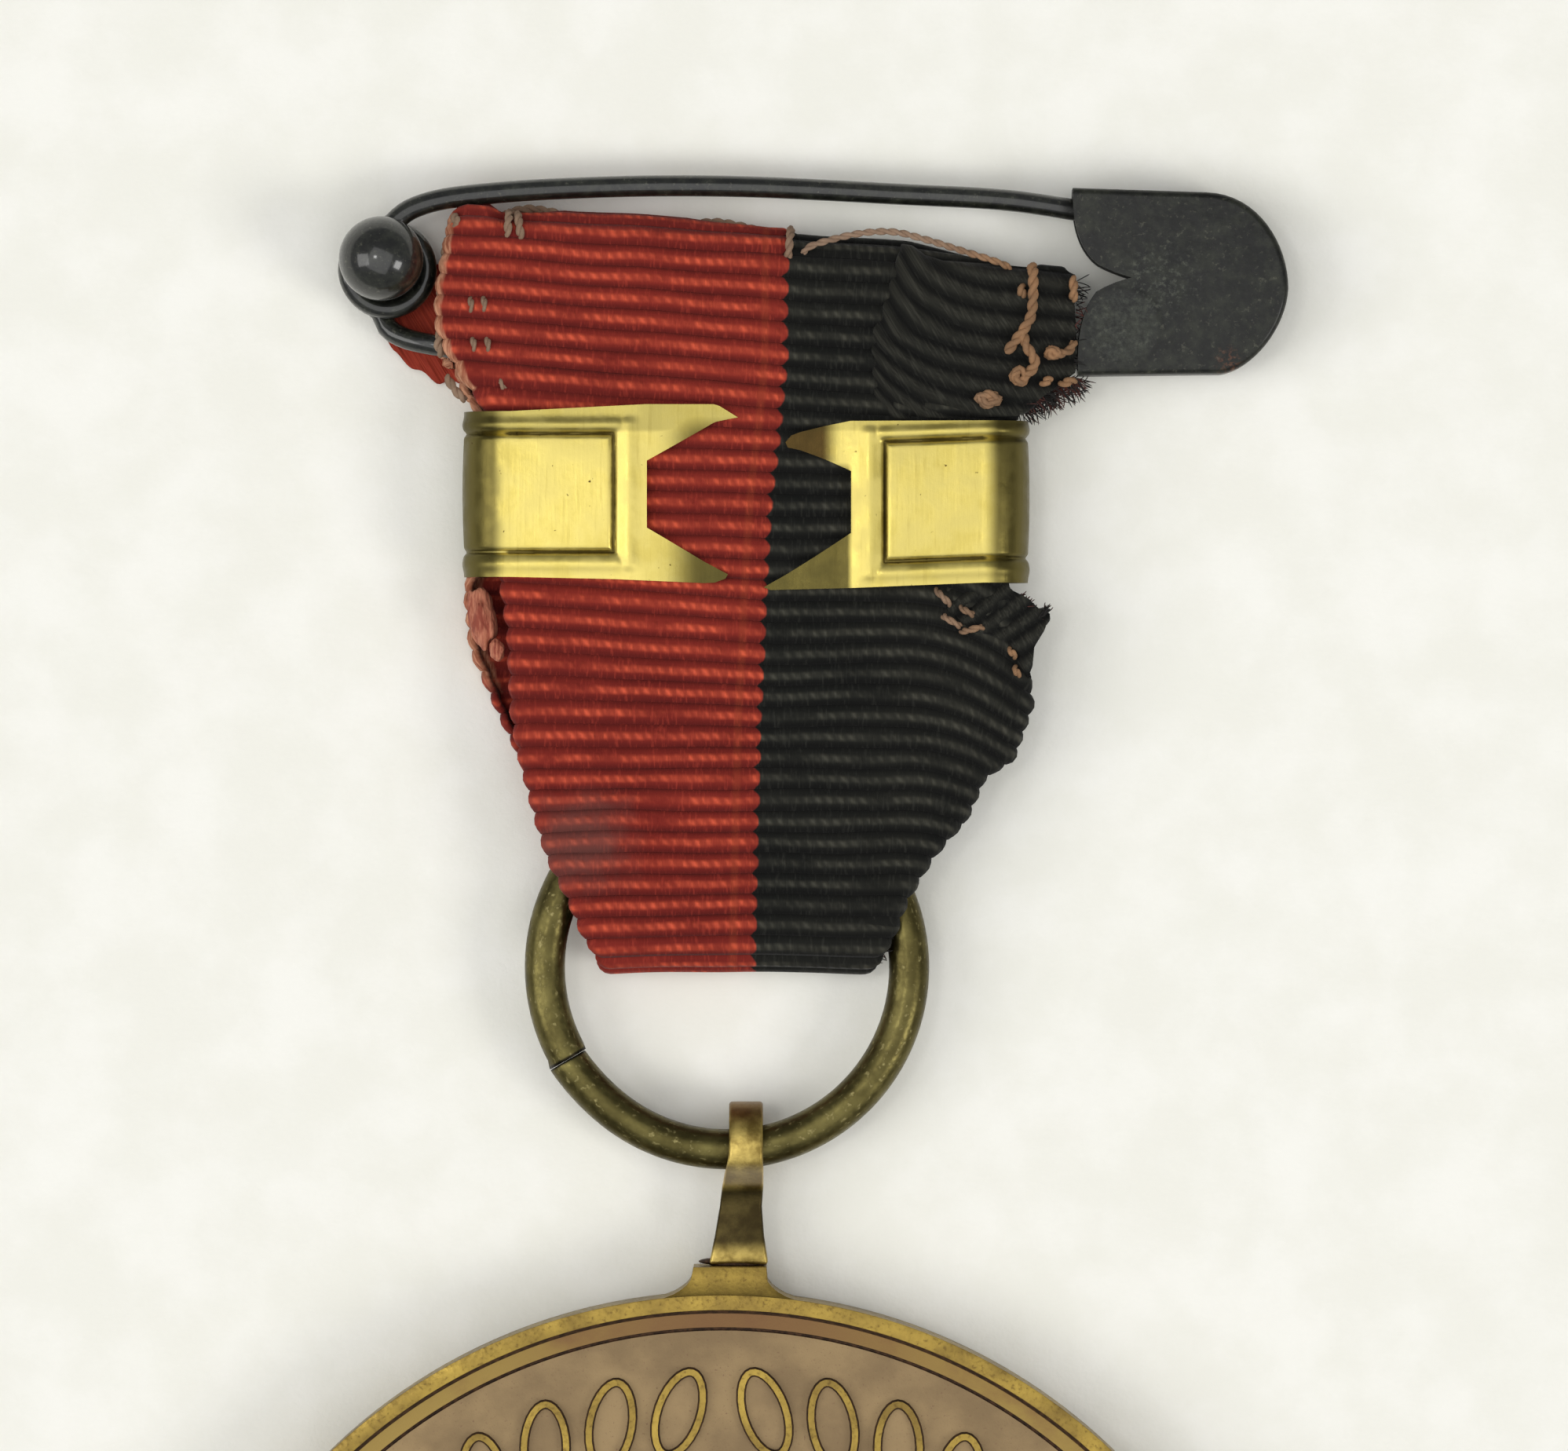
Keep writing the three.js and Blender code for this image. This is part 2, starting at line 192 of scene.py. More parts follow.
bpy.ops.mesh.primitive_plane_add(size=6)
paper = bpy.context.object
paper.name = "paper"
sheet_finish = Finish("pale_paper")
mottle = sheet_finish.noise(0.35, 5)
tooth = sheet_finish.noise(6.0, 4)
sheet_finish.shade(
    Base_Color=sheet_finish.mix(
        sheet_finish.ease(mottle, 0.35, 0.7), paint(238, 237, 228), paint(244, 243, 236)),
    Roughness=0.95)
sheet_finish.bump(tooth, 0.03, 0.5)
paper.data.materials.append(sheet_finish.material)


# ---------------------------------------------------------------------------
# The medal disc is struck from bronze in one blow with its rim, tang and relief.
# The field is left matt red-brown by the finishing bath, and handling has worn
# the rim and the tops of the relief back to gold.
# ---------------------------------------------------------------------------
DISC_R, DISC_T = 15.875, 2.7
RIM_FLAT, RIM_STEP, RIM_BAND = 0.42, 0.1, 0.4
FIELD_Z = 2.2
TANG_TOP_Y = 16.65


def pick(piece, kind, test):
    """Leaves the piece in edit mode with the faces or vertices that pass the test selected."""
    bpy.context.view_layer.objects.active = piece
    if bpy.context.object.mode == "EDIT":
        bpy.ops.object.mode_set(mode="OBJECT")
    bpy.ops.object.mode_set(mode="EDIT")
    bpy.ops.mesh.select_mode(type=kind)
    bpy.ops.mesh.select_all(action="DESELECT")
    bpy.ops.object.mode_set(mode="OBJECT")
    if kind == "FACE":
        for face in piece.data.polygons:
            face.select = test(face.center, face.normal)
    elif kind == "EDGE":
        points = piece.data.vertices
        for edge in piece.data.edges:
            edge.select = test(points[edge.vertices[0]].co, points[edge.vertices[1]].co)
    else:
        for point in piece.data.vertices:
            point.select = test(point.co, point.normal)
    bpy.ops.object.mode_set(mode="EDIT")


def whole(piece):
    pick(piece, "FACE", lambda c, n: True)


def coat(number):
    """Gives the selected faces the piece's material of this number."""
    bpy.context.object.active_material_index = number
    bpy.ops.object.material_slot_assign()


def only(piece):
    bpy.ops.object.select_all(action="DESELECT")
    piece.select_set(True)
    bpy.context.view_layer.objects.active = piece


def done(piece):
    """Back to object mode, with the piece's place taken into its mesh."""
    if bpy.context.object.mode == "EDIT":
        bpy.ops.object.mode_set(mode="OBJECT")
    only(piece)
    bpy.ops.object.transform_apply(location=True, rotation=True, scale=True)


def settle(piece, name, body, slot, *nodes, finish=None):
    """A piece modelled in millimetres becomes metres and joins its body."""
    done(piece)
    piece.scale = (MM, MM, MM)
    bpy.ops.object.transform_apply(location=False, rotation=False, scale=True)
    piece.name = name
    if finish:
        piece.data.materials.clear()
        piece.data.materials.append(finish.material)
    if nodes:
        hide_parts(*nodes)
    if body:
        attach(piece, body)
    piece.select_set(False)
    return piece


def add_modifier(piece, kind, **settings):
    bpy.context.view_layer.objects.active = piece
    modifier = piece.modifiers.new(kind.lower(), kind)
    for key, value in settings.items():
        setattr(modifier, key, value)
    bpy.ops.object.modifier_apply(modifier=modifier.name)


def join(pieces):
    bpy.ops.object.select_all(action="DESELECT")
    for piece in pieces:
        piece.select_set(True)
    bpy.context.view_layer.objects.active = pieces[0]
    bpy.ops.object.join()
    return pieces[0]


def smooth(piece, degrees):
    only(piece)
    bpy.ops.object.shade_smooth_by_angle(angle=math.radians(degrees))


def inset(thickness, depth=0.0):
    bpy.ops.mesh.inset(thickness=thickness, depth=depth, use_even_offset=True)


# The worn gold of the rim and of everything raised.
gold = Finish("worn_gold_bronze")
patches = gold.noise(0.7, 5)
grains = gold.noise(9.0, 3)
gold_colour = gold.mix(gold.ease(patches, 0.3, 0.72), paint(116, 95, 47), paint(160, 135, 63))
gold_colour = gold.mix(0.5 * gold.ease(grains, 0.56, 0.74), gold_colour, paint(96, 72, 42))
gold.shade(Base_Color=gold_colour, Metallic=0.85,
           Roughness=0.34 + 0.2 * gold.ease(grains, 0.4, 0.7))
gold.bump(grains, 0.01, 0.5)

# The matt bath colour of the field. The band inside the rim turns gold in patches towards its left and
# right sides.
field = Finish("red_brown_field")
clouds = field.noise(0.5, 6)
speckle = field.noise(14.0, 4)
field_colour = field.mix(field.ease(clouds, 0.34, 0.68), paint(132, 110, 78), paint(156, 132, 94))
field_colour = field.mix(field.ease(speckle, 0.6, 0.8), field_colour, paint(118, 86, 66))
from_middle = field.away_from(0, 0)
band_sides_gold = field.ease((field.along("X") - 0.5).unsigned(), 1.0, 8.0) * 0.8 + 0.1
field_colour = field.mix(
    field.ease(from_middle, 14.9, 14.98), field_colour,
    field.mix(band_sides_gold * field.ease(clouds, 0.2, 0.5), paint(136, 100, 66), paint(172, 146, 78)))
field.shade(Base_Color=field_colour, Metallic=0.45, Roughness=0.62)
field.bump(speckle, 0.008, 0.6)

# Painted shade in the corners round the relief, on the rim's step and in the rim's groove. The solder is
# coloured with it too, as grime.
shade_and_grime = Finish("painted_shade_and_grime")
soot = shade_and_grime.noise(6.0, 4)
shade_and_grime.shade(Base_Color=shade_and_grime.mix(shade_and_grime.ease(soot, 0.4, 0.65), paint(52, 36, 24), paint(86, 60, 40)),
            Metallic=0.4, Roughness=0.7)

bpy.ops.mesh.primitive_cylinder_add(
    vertices=240, radius=DISC_R, depth=DISC_T, location=(0, 0, DISC_T / 2))
disc = bpy.context.object
done(disc)
GOLD, FIELD, PAINTED_SHADE = range(3)
for finish in (gold, field, shade_and_grime):
    disc.data.materials.append(finish.material)
# The rim's step and the groove inside its band are given the painted shade.
pick(disc, "FACE", lambda c, n: n.z > 0.9)
inset(RIM_FLAT)
coat(PAINTED_SHADE)
inset(RIM_STEP, -0.3)
coat(FIELD)
inset(RIM_BAND, -0.17)
coat(PAINTED_SHADE)
inset(0.035, -0.09)
inset(0.02)
inset(0.035, 0.06)
coat(FIELD)
pick(disc, "FACE", lambda c, n: n.z < -0.9)
inset(0.9)
inset(0.35, -0.4)
coat(FIELD)
# The tang is drawn up from the rim in five steps, each narrower than the last.
pick(disc, "FACE", lambda c, n: n.y > 0.98 and abs(c.x - 0.3) < 1.85 and abs(n.z) < 0.1)
inset(0.05)
for rise, narrow in ((0.1, 0.86), (0.11, 0.88), (0.14, 0.87), (0.16, 0.9), (0.25, 0.95)):
    bpy.ops.mesh.extrude_region_move(TRANSFORM_OT_translate={"value": (0, rise, 0)})
    bpy.ops.transform.resize(value=(narrow, 1, 0.975))
bpy.ops.transform.resize(value=(1, 0, 1))
bpy.ops.object.mode_set(mode="OBJECT")
top_y = max(point.co.y for point in disc.data.vertices)
bpy.ops.object.mode_set(mode="EDIT")
bpy.ops.transform.translate(value=(0.02, TANG_TOP_Y - top_y, 0))
bpy.ops.object.mode_set(mode="OBJECT")
add_modifier(disc, "BEVEL", width=0.07, segments=3, limit_method="ANGLE", angle_limit=math.radians(40))
smooth(disc, 35)
settle(disc, "disc_struck", "medal", "bronze", "medal_disc")

# The relief: a wreath of leaves that part at the top, a ring of beads, and a star.
LEAF_LONG, LEAF_WIDE, LEAF_R = 2.7, 1.62, 12.6
LEAF_COUNT, LEAF_LEAN, WREATH_DEG = 19, 24, 168


def raised_line(piece, slope, ridge):
    """Turns a flat outline lying on the field into a raised line round a sunken middle, with painted shade
    on the slopes either side of its ridge.
    """
    for finish in (gold, field, shade_and_grime):
        piece.data.materials.append(finish.material)
    whole(piece)
    coat(PAINTED_SHADE)
    inset(slope, 0.2)
    coat(GOLD)
    inset(ridge)
    coat(PAINTED_SHADE)
    inset(slope, -0.17)
    coat(FIELD)
    bpy.ops.object.mode_set(mode="OBJECT")


bpy.ops.mesh.primitive_circle_add(vertices=28, radius=1, fill_type="NGON", location=(0, 0, 0))
blade = bpy.context.object
for point in blade.data.vertices:
    along = point.co.y
    point.co.x *= 0.9 + 0.1 * along
    point.co.y = along * LEAF_LONG / 2
    point.co.x *= LEAF_WIDE / 2 * (1 - 0.12 * along)
raised_line(blade, 0.05, 0.17)
blade.rotation_euler.z = math.radians(-LEAF_LEAN)
blade.location = (0, LEAF_R, FIELD_Z)
done(blade)
step = math.radians(WREATH_DEG / LEAF_COUNT)
blade.data.transform(Matrix.Rotation(step * 0.62, 4, "Z"))
whole(blade)
bpy.ops.mesh.spin(steps=LEAF_COUNT - 1, angle=step * (LEAF_COUNT - 1), dupli=True,
                  center=(0, 0, 0), axis=(0, 0, -1))
bpy.ops.object.mode_set(mode="OBJECT")
add_modifier(blade, "MIRROR", use_axis=(True, False, False), use_mirror_merge=False)
smooth(blade, 40)
settle(blade, "disc_wreath", "medal", "bronze")

# The same wreath is struck on the back, turned over.
BACK_FIELD_Z = 0.4
back_wreath = blade.copy()
back_wreath.data = blade.data.copy()
bpy.context.scene.collection.objects.link(back_wreath)
back_wreath.rotation_euler.y = math.pi
back_wreath.location.z = (BACK_FIELD_Z + FIELD_Z) * MM
done(back_wreath)
back_wreath.name = "disc_back_wreath"
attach(back_wreath, "medal")

BEAD_R, BEAD_COUNT, BEAD_RING = 0.19, 96, 10.1
bpy.ops.mesh.primitive_uv_sphere_add(
    segments=10, ring_count=6, radius=BEAD_R, location=(0, BEAD_RING, FIELD_Z))
beads = bpy.context.object
done(beads)
whole(beads)
bpy.ops.mesh.spin(steps=BEAD_COUNT - 1, angle=math.tau * (BEAD_COUNT - 1) / BEAD_COUNT, dupli=True,
                  center=(0, 0, 0), axis=(0, 0, 1))
bpy.ops.object.mode_set(mode="OBJECT")
smooth(beads, 60)
settle(beads, "disc_beads", "medal", "bronze", finish=gold)

STAR_R, STAR_WAIST = 7.4, 0.4
bpy.ops.mesh.primitive_circle_add(vertices=10, radius=STAR_R, fill_type="TRIFAN",
                                  location=(0, 0, FIELD_Z))
star = bpy.context.object
done(star)
for point in star.data.vertices:
    turn = math.atan2(point.co.x, point.co.y) / math.tau * 10
    if round(turn) % 2:
        point.co.x *= STAR_WAIST
        point.co.y *= STAR_WAIST
    if point.co.xy.length < 0.01:
        point.co.z += 0.75
pick(star, "EDGE", lambda a, b: min(a.xy.length, b.xy.length) > 0.01)
bpy.ops.mesh.extrude_region_move(TRANSFORM_OT_translate={"value": (0, 0, -0.15)})
bpy.ops.object.mode_set(mode="OBJECT")
for point in star.data.vertices:
    if point.co.z > FIELD_Z - 0.01:
        point.co.z += 0.12
add_modifier(star, "BEVEL", width=0.05, segments=2, limit_method="ANGLE")
settle(star, "disc_star", "medal", "bronze", finish=gold)


# ---------------------------------------------------------------------------
# The bail is a bronze strip bent over the ring's wire, pinched together under it,
# and soldered end-on to the tang with a little pool of solder.
# ---------------------------------------------------------------------------
RING_X, RING_Y, RING_Z = 0.14, 25.04, 1.4
RING_R, RING_WIRE = 5.12, 0.565
EYE_Y = RING_Y - RING_R + 0.1
STRIP_T, EYE_CLEAR = 0.42, 0.26

bail_metal = Finish("bail_bronze")
rub = bail_metal.noise(1.6, 5)
pits = bail_metal.noise(12.0, 3)
up_bail = bail_metal.along("Y")
bail_colour = bail_metal.mix(bail_metal.ease(rub, 0.35, 0.65), paint(126, 106, 52), paint(198, 174, 98))
# Painted shade on the legs between the knee and the foot, where the strip turns inward.
shank_shade = bail_metal.ease(up_bail, 19.0, 18.7) * bail_metal.ease(up_bail, 16.8, 17.4)
# A painted highlight: a pale glint across the knee where the strip bends.
knee_glint = bail_metal.ease(up_bail, 18.85, 19.05) * bail_metal.ease(up_bail, 19.6, 19.2)
bail_colour = bail_metal.mix(0.5 * knee_glint, bail_colour, paint(226, 206, 170))
bail_colour = bail_metal.mix(0.75 * bail_metal.ease(up_bail, 20.5, 21.1), bail_colour, paint(92, 54, 30))
bail_colour = bail_metal.mix(0.92 * shank_shade, bail_colour, paint(34, 27, 12))
bail_metal.shade(Base_Color=bail_colour, Metallic=0.9, Roughness=0.3 + 0.25 * pits)
bail_metal.bump(pits, 0.012, 0.5)

EYE_PATH_R = RING_WIRE + EYE_CLEAR + STRIP_T / 2
FOOT_Y = 16.7


def strip_route():
    """The strip's middle line in (y, z), from its front foot round the wire to its back foot."""
    leg = [(FOOT_Y, 0.23), (17.5, 0.22), (18.3, 0.22), (18.7, 0.27), (18.95, 0.45)]
    front = [(y, RING_Z + z) for y, z in leg]
    arc = [(EYE_Y + EYE_PATH_R * math.sin(turn), RING_Z + EYE_PATH_R * math.cos(turn))
           for turn in np.radians(np.linspace(-40, 220, 27))]
    back = [(y, RING_Z - z) for y, z in reversed(leg)]
    return front + arc + back


bail_route = strip_route()
bpy.ops.mesh.primitive_plane_add(size=1, location=(0, 0, 0), rotation=(math.radians(90), 0, 0))
bail = bpy.context.object
bail.scale = (1, STRIP_T, 1)
bail.location = (0, *bail_route[0])
done(bail)
whole(bail)
heading = 0.0
for here, there in zip(bail_route, bail_route[1:]):
    step_y, step_z = there[0] - here[0], there[1] - here[1]
    bpy.ops.mesh.extrude_region_move(TRANSFORM_OT_translate={"value": (0, step_y, step_z)})
    new_heading = math.atan2(step_z, step_y)
    turn = (new_heading - heading + math.pi) % math.tau - math.pi
    bpy.ops.transform.rotate(
        value=-turn, orient_axis="X", center_override=(0, there[0], there[1]))
    heading += turn
bpy.ops.mesh.select_all(action="SELECT")
bpy.ops.mesh.fill_holes(sides=8)
bpy.ops.mesh.normals_make_consistent(inside=False)
bpy.ops.object.mode_set(mode="OBJECT")
for point in bail.data.vertices:
    heights = (FOOT_Y, 17.0, 18.0, 19.0, 19.8)
    left_side = np.interp(point.co.y, heights, (-0.36, -0.3, -0.1, 0.02, 0.2))
    right_side = np.interp(point.co.y, heights, (1.3, 1.26, 1.1, 1.17, 1.15))
    point.co.x = (left_side + right_side) / 2 + point.co.x * (right_side - left_side)
add_modifier(bail, "BEVEL", width=0.09, segments=3, limit_method="ANGLE", angle_limit=math.radians(50))
smooth(bail, 50)
settle(bail, "bail_strip", "medal", "bail_bronze", "bail", finish=bail_metal)

bpy.ops.mesh.primitive_uv_sphere_add(segments=32, ring_count=16, radius=1, location=(0.4, FOOT_Y, 1.35))
solder = bpy.context.object
solder.scale = (0.86, 0.12, 0.5)
done(solder)
pick(solder, "VERT", lambda p, n: p.x < -0.1)
bpy.ops.transform.translate(value=(-0.2, 0.07, 0))
bpy.ops.object.mode_set(mode="OBJECT")
smooth(solder, 60)
settle(solder, "bail_solder", "medal", "bail_bronze", finish=shade_and_grime)


# ---------------------------------------------------------------------------
# The split ring is brass wire wound to a ring and cut, so its two ends butt
# together at the lower left without quite meeting. It has gone olive-brown.
# ---------------------------------------------------------------------------
SPLIT_DEG, SPLIT_GAP_DEG = 210.0, 0.2
END_LIFT, END_REACH = 0.07, 0.35

old_brass = Finish("olive_brass_wire")
haze = old_brass.noise(0.9, 5)
scuff = old_brass.node("TexNoise", None, {
    "Vector": old_brass.node("Mapping", None, {0: old_brass.place, "Scale": (1, 1, 3)}),
    "Scale": 5.0, "Detail": 5.0})
old_colour = old_brass.mix(old_brass.ease(haze, 0.36, 0.66), paint(76, 69, 37), paint(102, 94, 54))
old_colour = old_brass.mix(old_brass.ease(scuff, 0.58, 0.75), old_colour, paint(148, 138, 92))
# The joint between the two ends is coloured dark. JOINT_NORMAL points along the wire there.
JOINT_NORMAL = (0.5, -0.866, 0)
from_centre = old_brass.node(
    "VectorMath", {"operation": "SUBTRACT"}, {0: old_brass.place, 1: (RING_X, RING_Y, 0)})
past_joint = old_brass.node(
    "VectorMath", {"operation": "DOT_PRODUCT"}, {0: from_centre, 1: JOINT_NORMAL}, out="Value")
dark_joint = old_brass.ease(past_joint.unsigned(), 0.1, 0.04) * (old_brass.along("X") < 0)
old_colour = old_brass.mix(dark_joint, old_colour, paint(30, 26, 16))
old_brass.shade(Base_Color=old_colour, Metallic=0.92,
                Roughness=0.3 + 0.22 * old_brass.ease(scuff, 0.35, 0.7))
old_brass.bump(scuff, 0.01, 0.4)

bpy.ops.mesh.primitive_circle_add(
    vertices=24, radius=RING_WIRE, fill_type="NGON", location=(RING_R, 0, 0),
    rotation=(math.radians(90), 0, 0))
ring = bpy.context.object
done(ring)
whole(ring)
bpy.ops.mesh.spin(steps=150, angle=math.radians(360 - SPLIT_GAP_DEG), center=(0, 0, 0), axis=(0, 0, 1))
bpy.ops.mesh.select_all(action="SELECT")
bpy.ops.mesh.remove_doubles(threshold=0.0001)
bpy.ops.mesh.fill_holes(sides=30)
bpy.ops.mesh.normals_make_consistent(inside=False)
bpy.ops.object.mode_set(mode="OBJECT")
for point in ring.data.vertices:
    turn = math.atan2(point.co.y, point.co.x) % math.tau
    lift = END_LIFT * max(0.0, 1 - turn / END_REACH) ** 2
    point.co += Vector((math.cos(turn), math.sin(turn), 0)) * lift
ring.data.transform(Matrix.Rotation(math.radians(SPLIT_DEG + SPLIT_GAP_DEG / 2), 4, "Z"))
ring.location = (RING_X, RING_Y, RING_Z)
done(ring)
add_modifier(ring, "BEVEL", width=0.03, segments=2, limit_method="ANGLE", angle_limit=math.radians(50))
smooth(ring, 40)
settle(ring, "ring_wire", "ring", "antique_brass", "split_ring", finish=old_brass)


# ---------------------------------------------------------------------------
# The ribbon is one strip of corded silk, red on one half and black on the other.
# Its upper end is turned over the pin's straight arm and sewn; it runs down through
# the bar, folds round inside the ring, and goes up again behind. It is worn and creased.
# ---------------------------------------------------------------------------
RIB_ABOVE, RIB_BELOW = 0.613, 0.587
CORD_RISE, CLOTH_T = 0.15, 0.18
ROLL_R, ROLL_TURN = 0.24, math.radians(150)
FOLD_Y, TOP_Y = 25.05, 45.85


def smoothstep(value, low, high):
    t = np.clip((value - low) / (high - low), 0, 1)
    return t * t * (3 - 2 * t)


def ripple(points, size, seed):
    """Smooth noise from -1 to 1 at each (x, y), with swells of about size millimetres."""
    flat = points.reshape(-1, 2) / size
    drawn = [noise.noise(Vector((x, y, seed))) for x, y in flat]
    return np.array(drawn).reshape(points.shape[:-1]) * 1.6


def cord_profile(rib):
    """Height of the cords, 0 on a crest and -CORD_RISE in the groove between two."""
    return -CORD_RISE * np.abs(2 * (rib % 1) - 1) ** 1.6


def new_piece(name, mesh):
    made = bpy.data.objects.new(name, mesh)
    bpy.context.scene.collection.objects.link(made)
    done(made)
    return made


def grid_piece(points, **numbers):
    """A grid of points becomes a mesh of squares that carries these numbers as attributes."""
    rows, columns = points.shape[:2]
    corner = np.arange(rows * columns).reshape(rows, columns)
    faces = np.stack([corner[:-1, :-1], corner[:-1, 1:], corner[1:, 1:], corner[1:, :-1]], -1)
    mesh = bpy.data.meshes.new("grid")
    mesh.from_pydata(points.reshape(-1, 3).tolist(), [], faces.reshape(-1, 4).tolist())
    for name, values in numbers.items():
        kind, key = ("FLOAT_VECTOR", "vector") if values.ndim == 3 else ("FLOAT", "value")
        mesh.attributes.new(name, kind, "POINT").data.foreach_set(
            key, values.reshape(-1).astype(np.float32))
    return new_piece("grid", mesh)


def cloth_mesh(points, weave, wear, thickness=CLOTH_T):
    """A grid of points becomes a sheet of cloth this thick, its crests at the points."""
    sheet = grid_piece(points, weave=weave, wear=wear)
    bpy.ops.object.shade_smooth()
    add_modifier(sheet, "SOLIDIFY", thickness=thickness, offset=-1)
    return sheet


# The finish follows the cords: weave holds millimetres across the ribbon, the cord's
# number along it, and millimetres to the line where red meets black.
cloth = Finish("corded_silk")
weave = cloth.node("Attribute", {"attribute_name": "weave"}, out="Vector")
across = cloth.along("X", weave)
cord = cloth.along("Y", weave)
seam = cloth.along("Z", weave)
# This attribute holds the cloth's wear from 0 up; a value below 0 asks instead for a broad painted
# highlight along the crests.
wear = cloth.node("Attribute", {"attribute_name": "wear"}, out="Fac")
phase = cord.maths("FRACT", cord, 0)
number = cord.maths("FLOOR", cord, 0)
wobble = cloth.noise(1.1, 3) - 0.5
off_crest = (phase - 0.5 + 0.12 * wobble).unsigned()
# Painted shade: shaded darkens each cord away from its crest, most on the side just past it.
past_crest = cloth.ease(phase + 0.1 * wobble, 0.56, 0.78)
before_crest = cloth.ease(phase + 0.1 * wobble, 0.46, -0.2)
shaded = past_crest.or_larger(before_crest)
yarn_x = cloth.node("CombineXYZ", None, {"X": across * 5.0, "Y": cord * 0.8, "Z": number * 3.7})
strands = cloth.noise(1.0, 2, place=yarn_x)
fine_x = cloth.node("CombineXYZ", None, {"X": across * 14.0, "Y": cord * 2.0, "Z": number * 1.3})
threads = cloth.noise(1.0, 3, place=fine_x)
bead = across.maths("SINE", across * 20.0 - 9.0 * phase + number * 2.1, 0) * 0.5 + 0.5
bead = bead * cloth.ease(strands, 0.3, 0.6)
# Painted highlight: crest and lit_line light a thin line along each crest, and a broad band where broad is
# set.
crest = cloth.ease(off_crest, 0.16, 0.03)
# Painted shade deepens the groove between two cords.
groove = cloth.ease(off_crest, 0.3, 0.48)
broad = cloth.ease(wear, -0.4, -0.8)
faded = cloth.noise(0.28, 4)
lit_line = crest * (0.3 + 0.7 * bead) * cloth.ease(cloth.noise(0.8, 3), 0.25, 0.6) * (1 - broad)
lit_line = lit_line + broad * cloth.ease(off_crest, 0.4, 0.1) * (0.18 + 0.3 * cloth.ease(threads, 0.4, 0.7))

red = cloth.mix(cloth.ease(faded, 0.3, 0.7), paint(109, 30, 24), paint(129, 40, 31))
red = cloth.mix(0.8 * shaded, red, paint(92, 24, 21))
red = cloth.mix(0.35 * groove, red, paint(70, 14, 15))
red = cloth.mix(0.5 * cloth.ease(threads, 0.5, 0.75), red, paint(160, 58, 44))
red = cloth.mix(lit_line, red, paint(207, 84, 56))
orange_yarn = cloth.ease((seam + 0.55).unsigned(), 0.16, 0.05)
red = cloth.mix(0.07 * orange_yarn, red, paint(216, 110, 60))
black = cloth.mix(cloth.ease(faded, 0.3, 0.7), paint(17, 18, 16), paint(29, 29, 25))
black = cloth.mix(0.8 * shaded, black, paint(10, 10, 9))
black = cloth.mix(0.4 * cloth.ease(threads, 0.5, 0.75), black, paint(52, 52, 47))
black = cloth.mix(0.45 * lit_line, black, paint(88, 86, 74))
zigzag = 0.2 * cloth.ease(off_crest, 0.45, 0.05) - 0.1
side = cloth.ease(seam - zigzag + 0.1 * (strands - 0.5), -0.03, 0.03)
dye = cloth.mix(side, red, black)
stain = cloth.away_from(-3.9, 28.6, 2.3)
dirty = cloth.ease(stain + 1.6 * (cloth.noise(1.4, 4) - 0.5), 1.9, 0.5) * (1 - side)
dye = cloth.mix(0.5 * dirty, dye, paint(96, 70, 64))
bare = cloth.ease(wear + 0.5 * (strands - 0.5), 0.35, 0.75)
bare_colour = cloth.mix(cloth.ease(threads, 0.35, 0.65), paint(150, 92, 66), paint(206, 150, 118))
dye = cloth.mix(bare, dye, bare_colour)
cloth.shade(Base_Color=dye, Roughness=0.86 - 0.3 * lit_line)
cloth.shader.inputs["Sheen Weight"].default_value = 0.04
cloth.shader.inputs["Specular IOR Level"].default_value = 0.15
cloth.shader.inputs["Sheen Roughness"].default_value = 0.5
cloth.bump(threads * 0.6 + bead * crest * 0.8 + strands * 0.3, 0.05, 0.9)


# The strip's route in (y, z), over the crests of its cords, from the sleeve's hidden end
# to the end of the back layer. The cords are packed a little closer below the bar.
top_turn = np.radians(np.linspace(-90, 90, 13))
top_fold = [(TOP_Y - 0.8 + 0.8 * math.cos(t), 1.27 + 0.91 * math.sin(t)) for t in top_turn]
low_turn = np.radians(np.linspace(90, 270, 15))
low_fold = [(26.1 + (26.1 - FOLD_Y) * math.cos(t), 1.22 + 1.14 * math.sin(t)) for t in low_turn]
FRONT = [(43.5, 2.18), (41.6, 2.2), (40.6, 2.34), (36.0, 2.34),
         (34.9, 2.24), (32.5, 2.18), (30.0, 2.2), (27.6, 2.3)]
BACK = [(28.0, 0.05), (34.8, 0.07), (35.9, 0.55), (40.7, 0.55), (41.5, 0.07), (43.6, 0.06)]
route = np.array([(41.7, 0.4), (43.0, 0.36)] + top_fold + FRONT + low_fold + BACK)
reach = np.concatenate([[0], np.cumsum(np.hypot(*np.diff(route, axis=0).T))])
gone = np.linspace(0, reach[-1], 1200)
route_y, route_z = np.interp(gone, reach, route[:, 0]), np.interp(gone, reach, route[:, 1])
soft = np.hanning(17) / np.hanning(17).sum()
route_y[8:-8], route_z[8:-8] = np.convolve(route_y, soft, "valid"), np.convolve(route_z, soft, "valid")
tangent_y, tangent_z = np.gradient(route_y), np.gradient(route_z)
long = np.hypot(tangent_y, tangent_z)
normal_y, normal_z = tangent_z / long, -tangent_y / long
in_front = (route_z > 1.3) & (gone > 4)


def front_reach(y):
    """How far along the strip the front layer passes this height."""
    return float(np.interp(-y, -route_y[in_front], gone[in_front]))


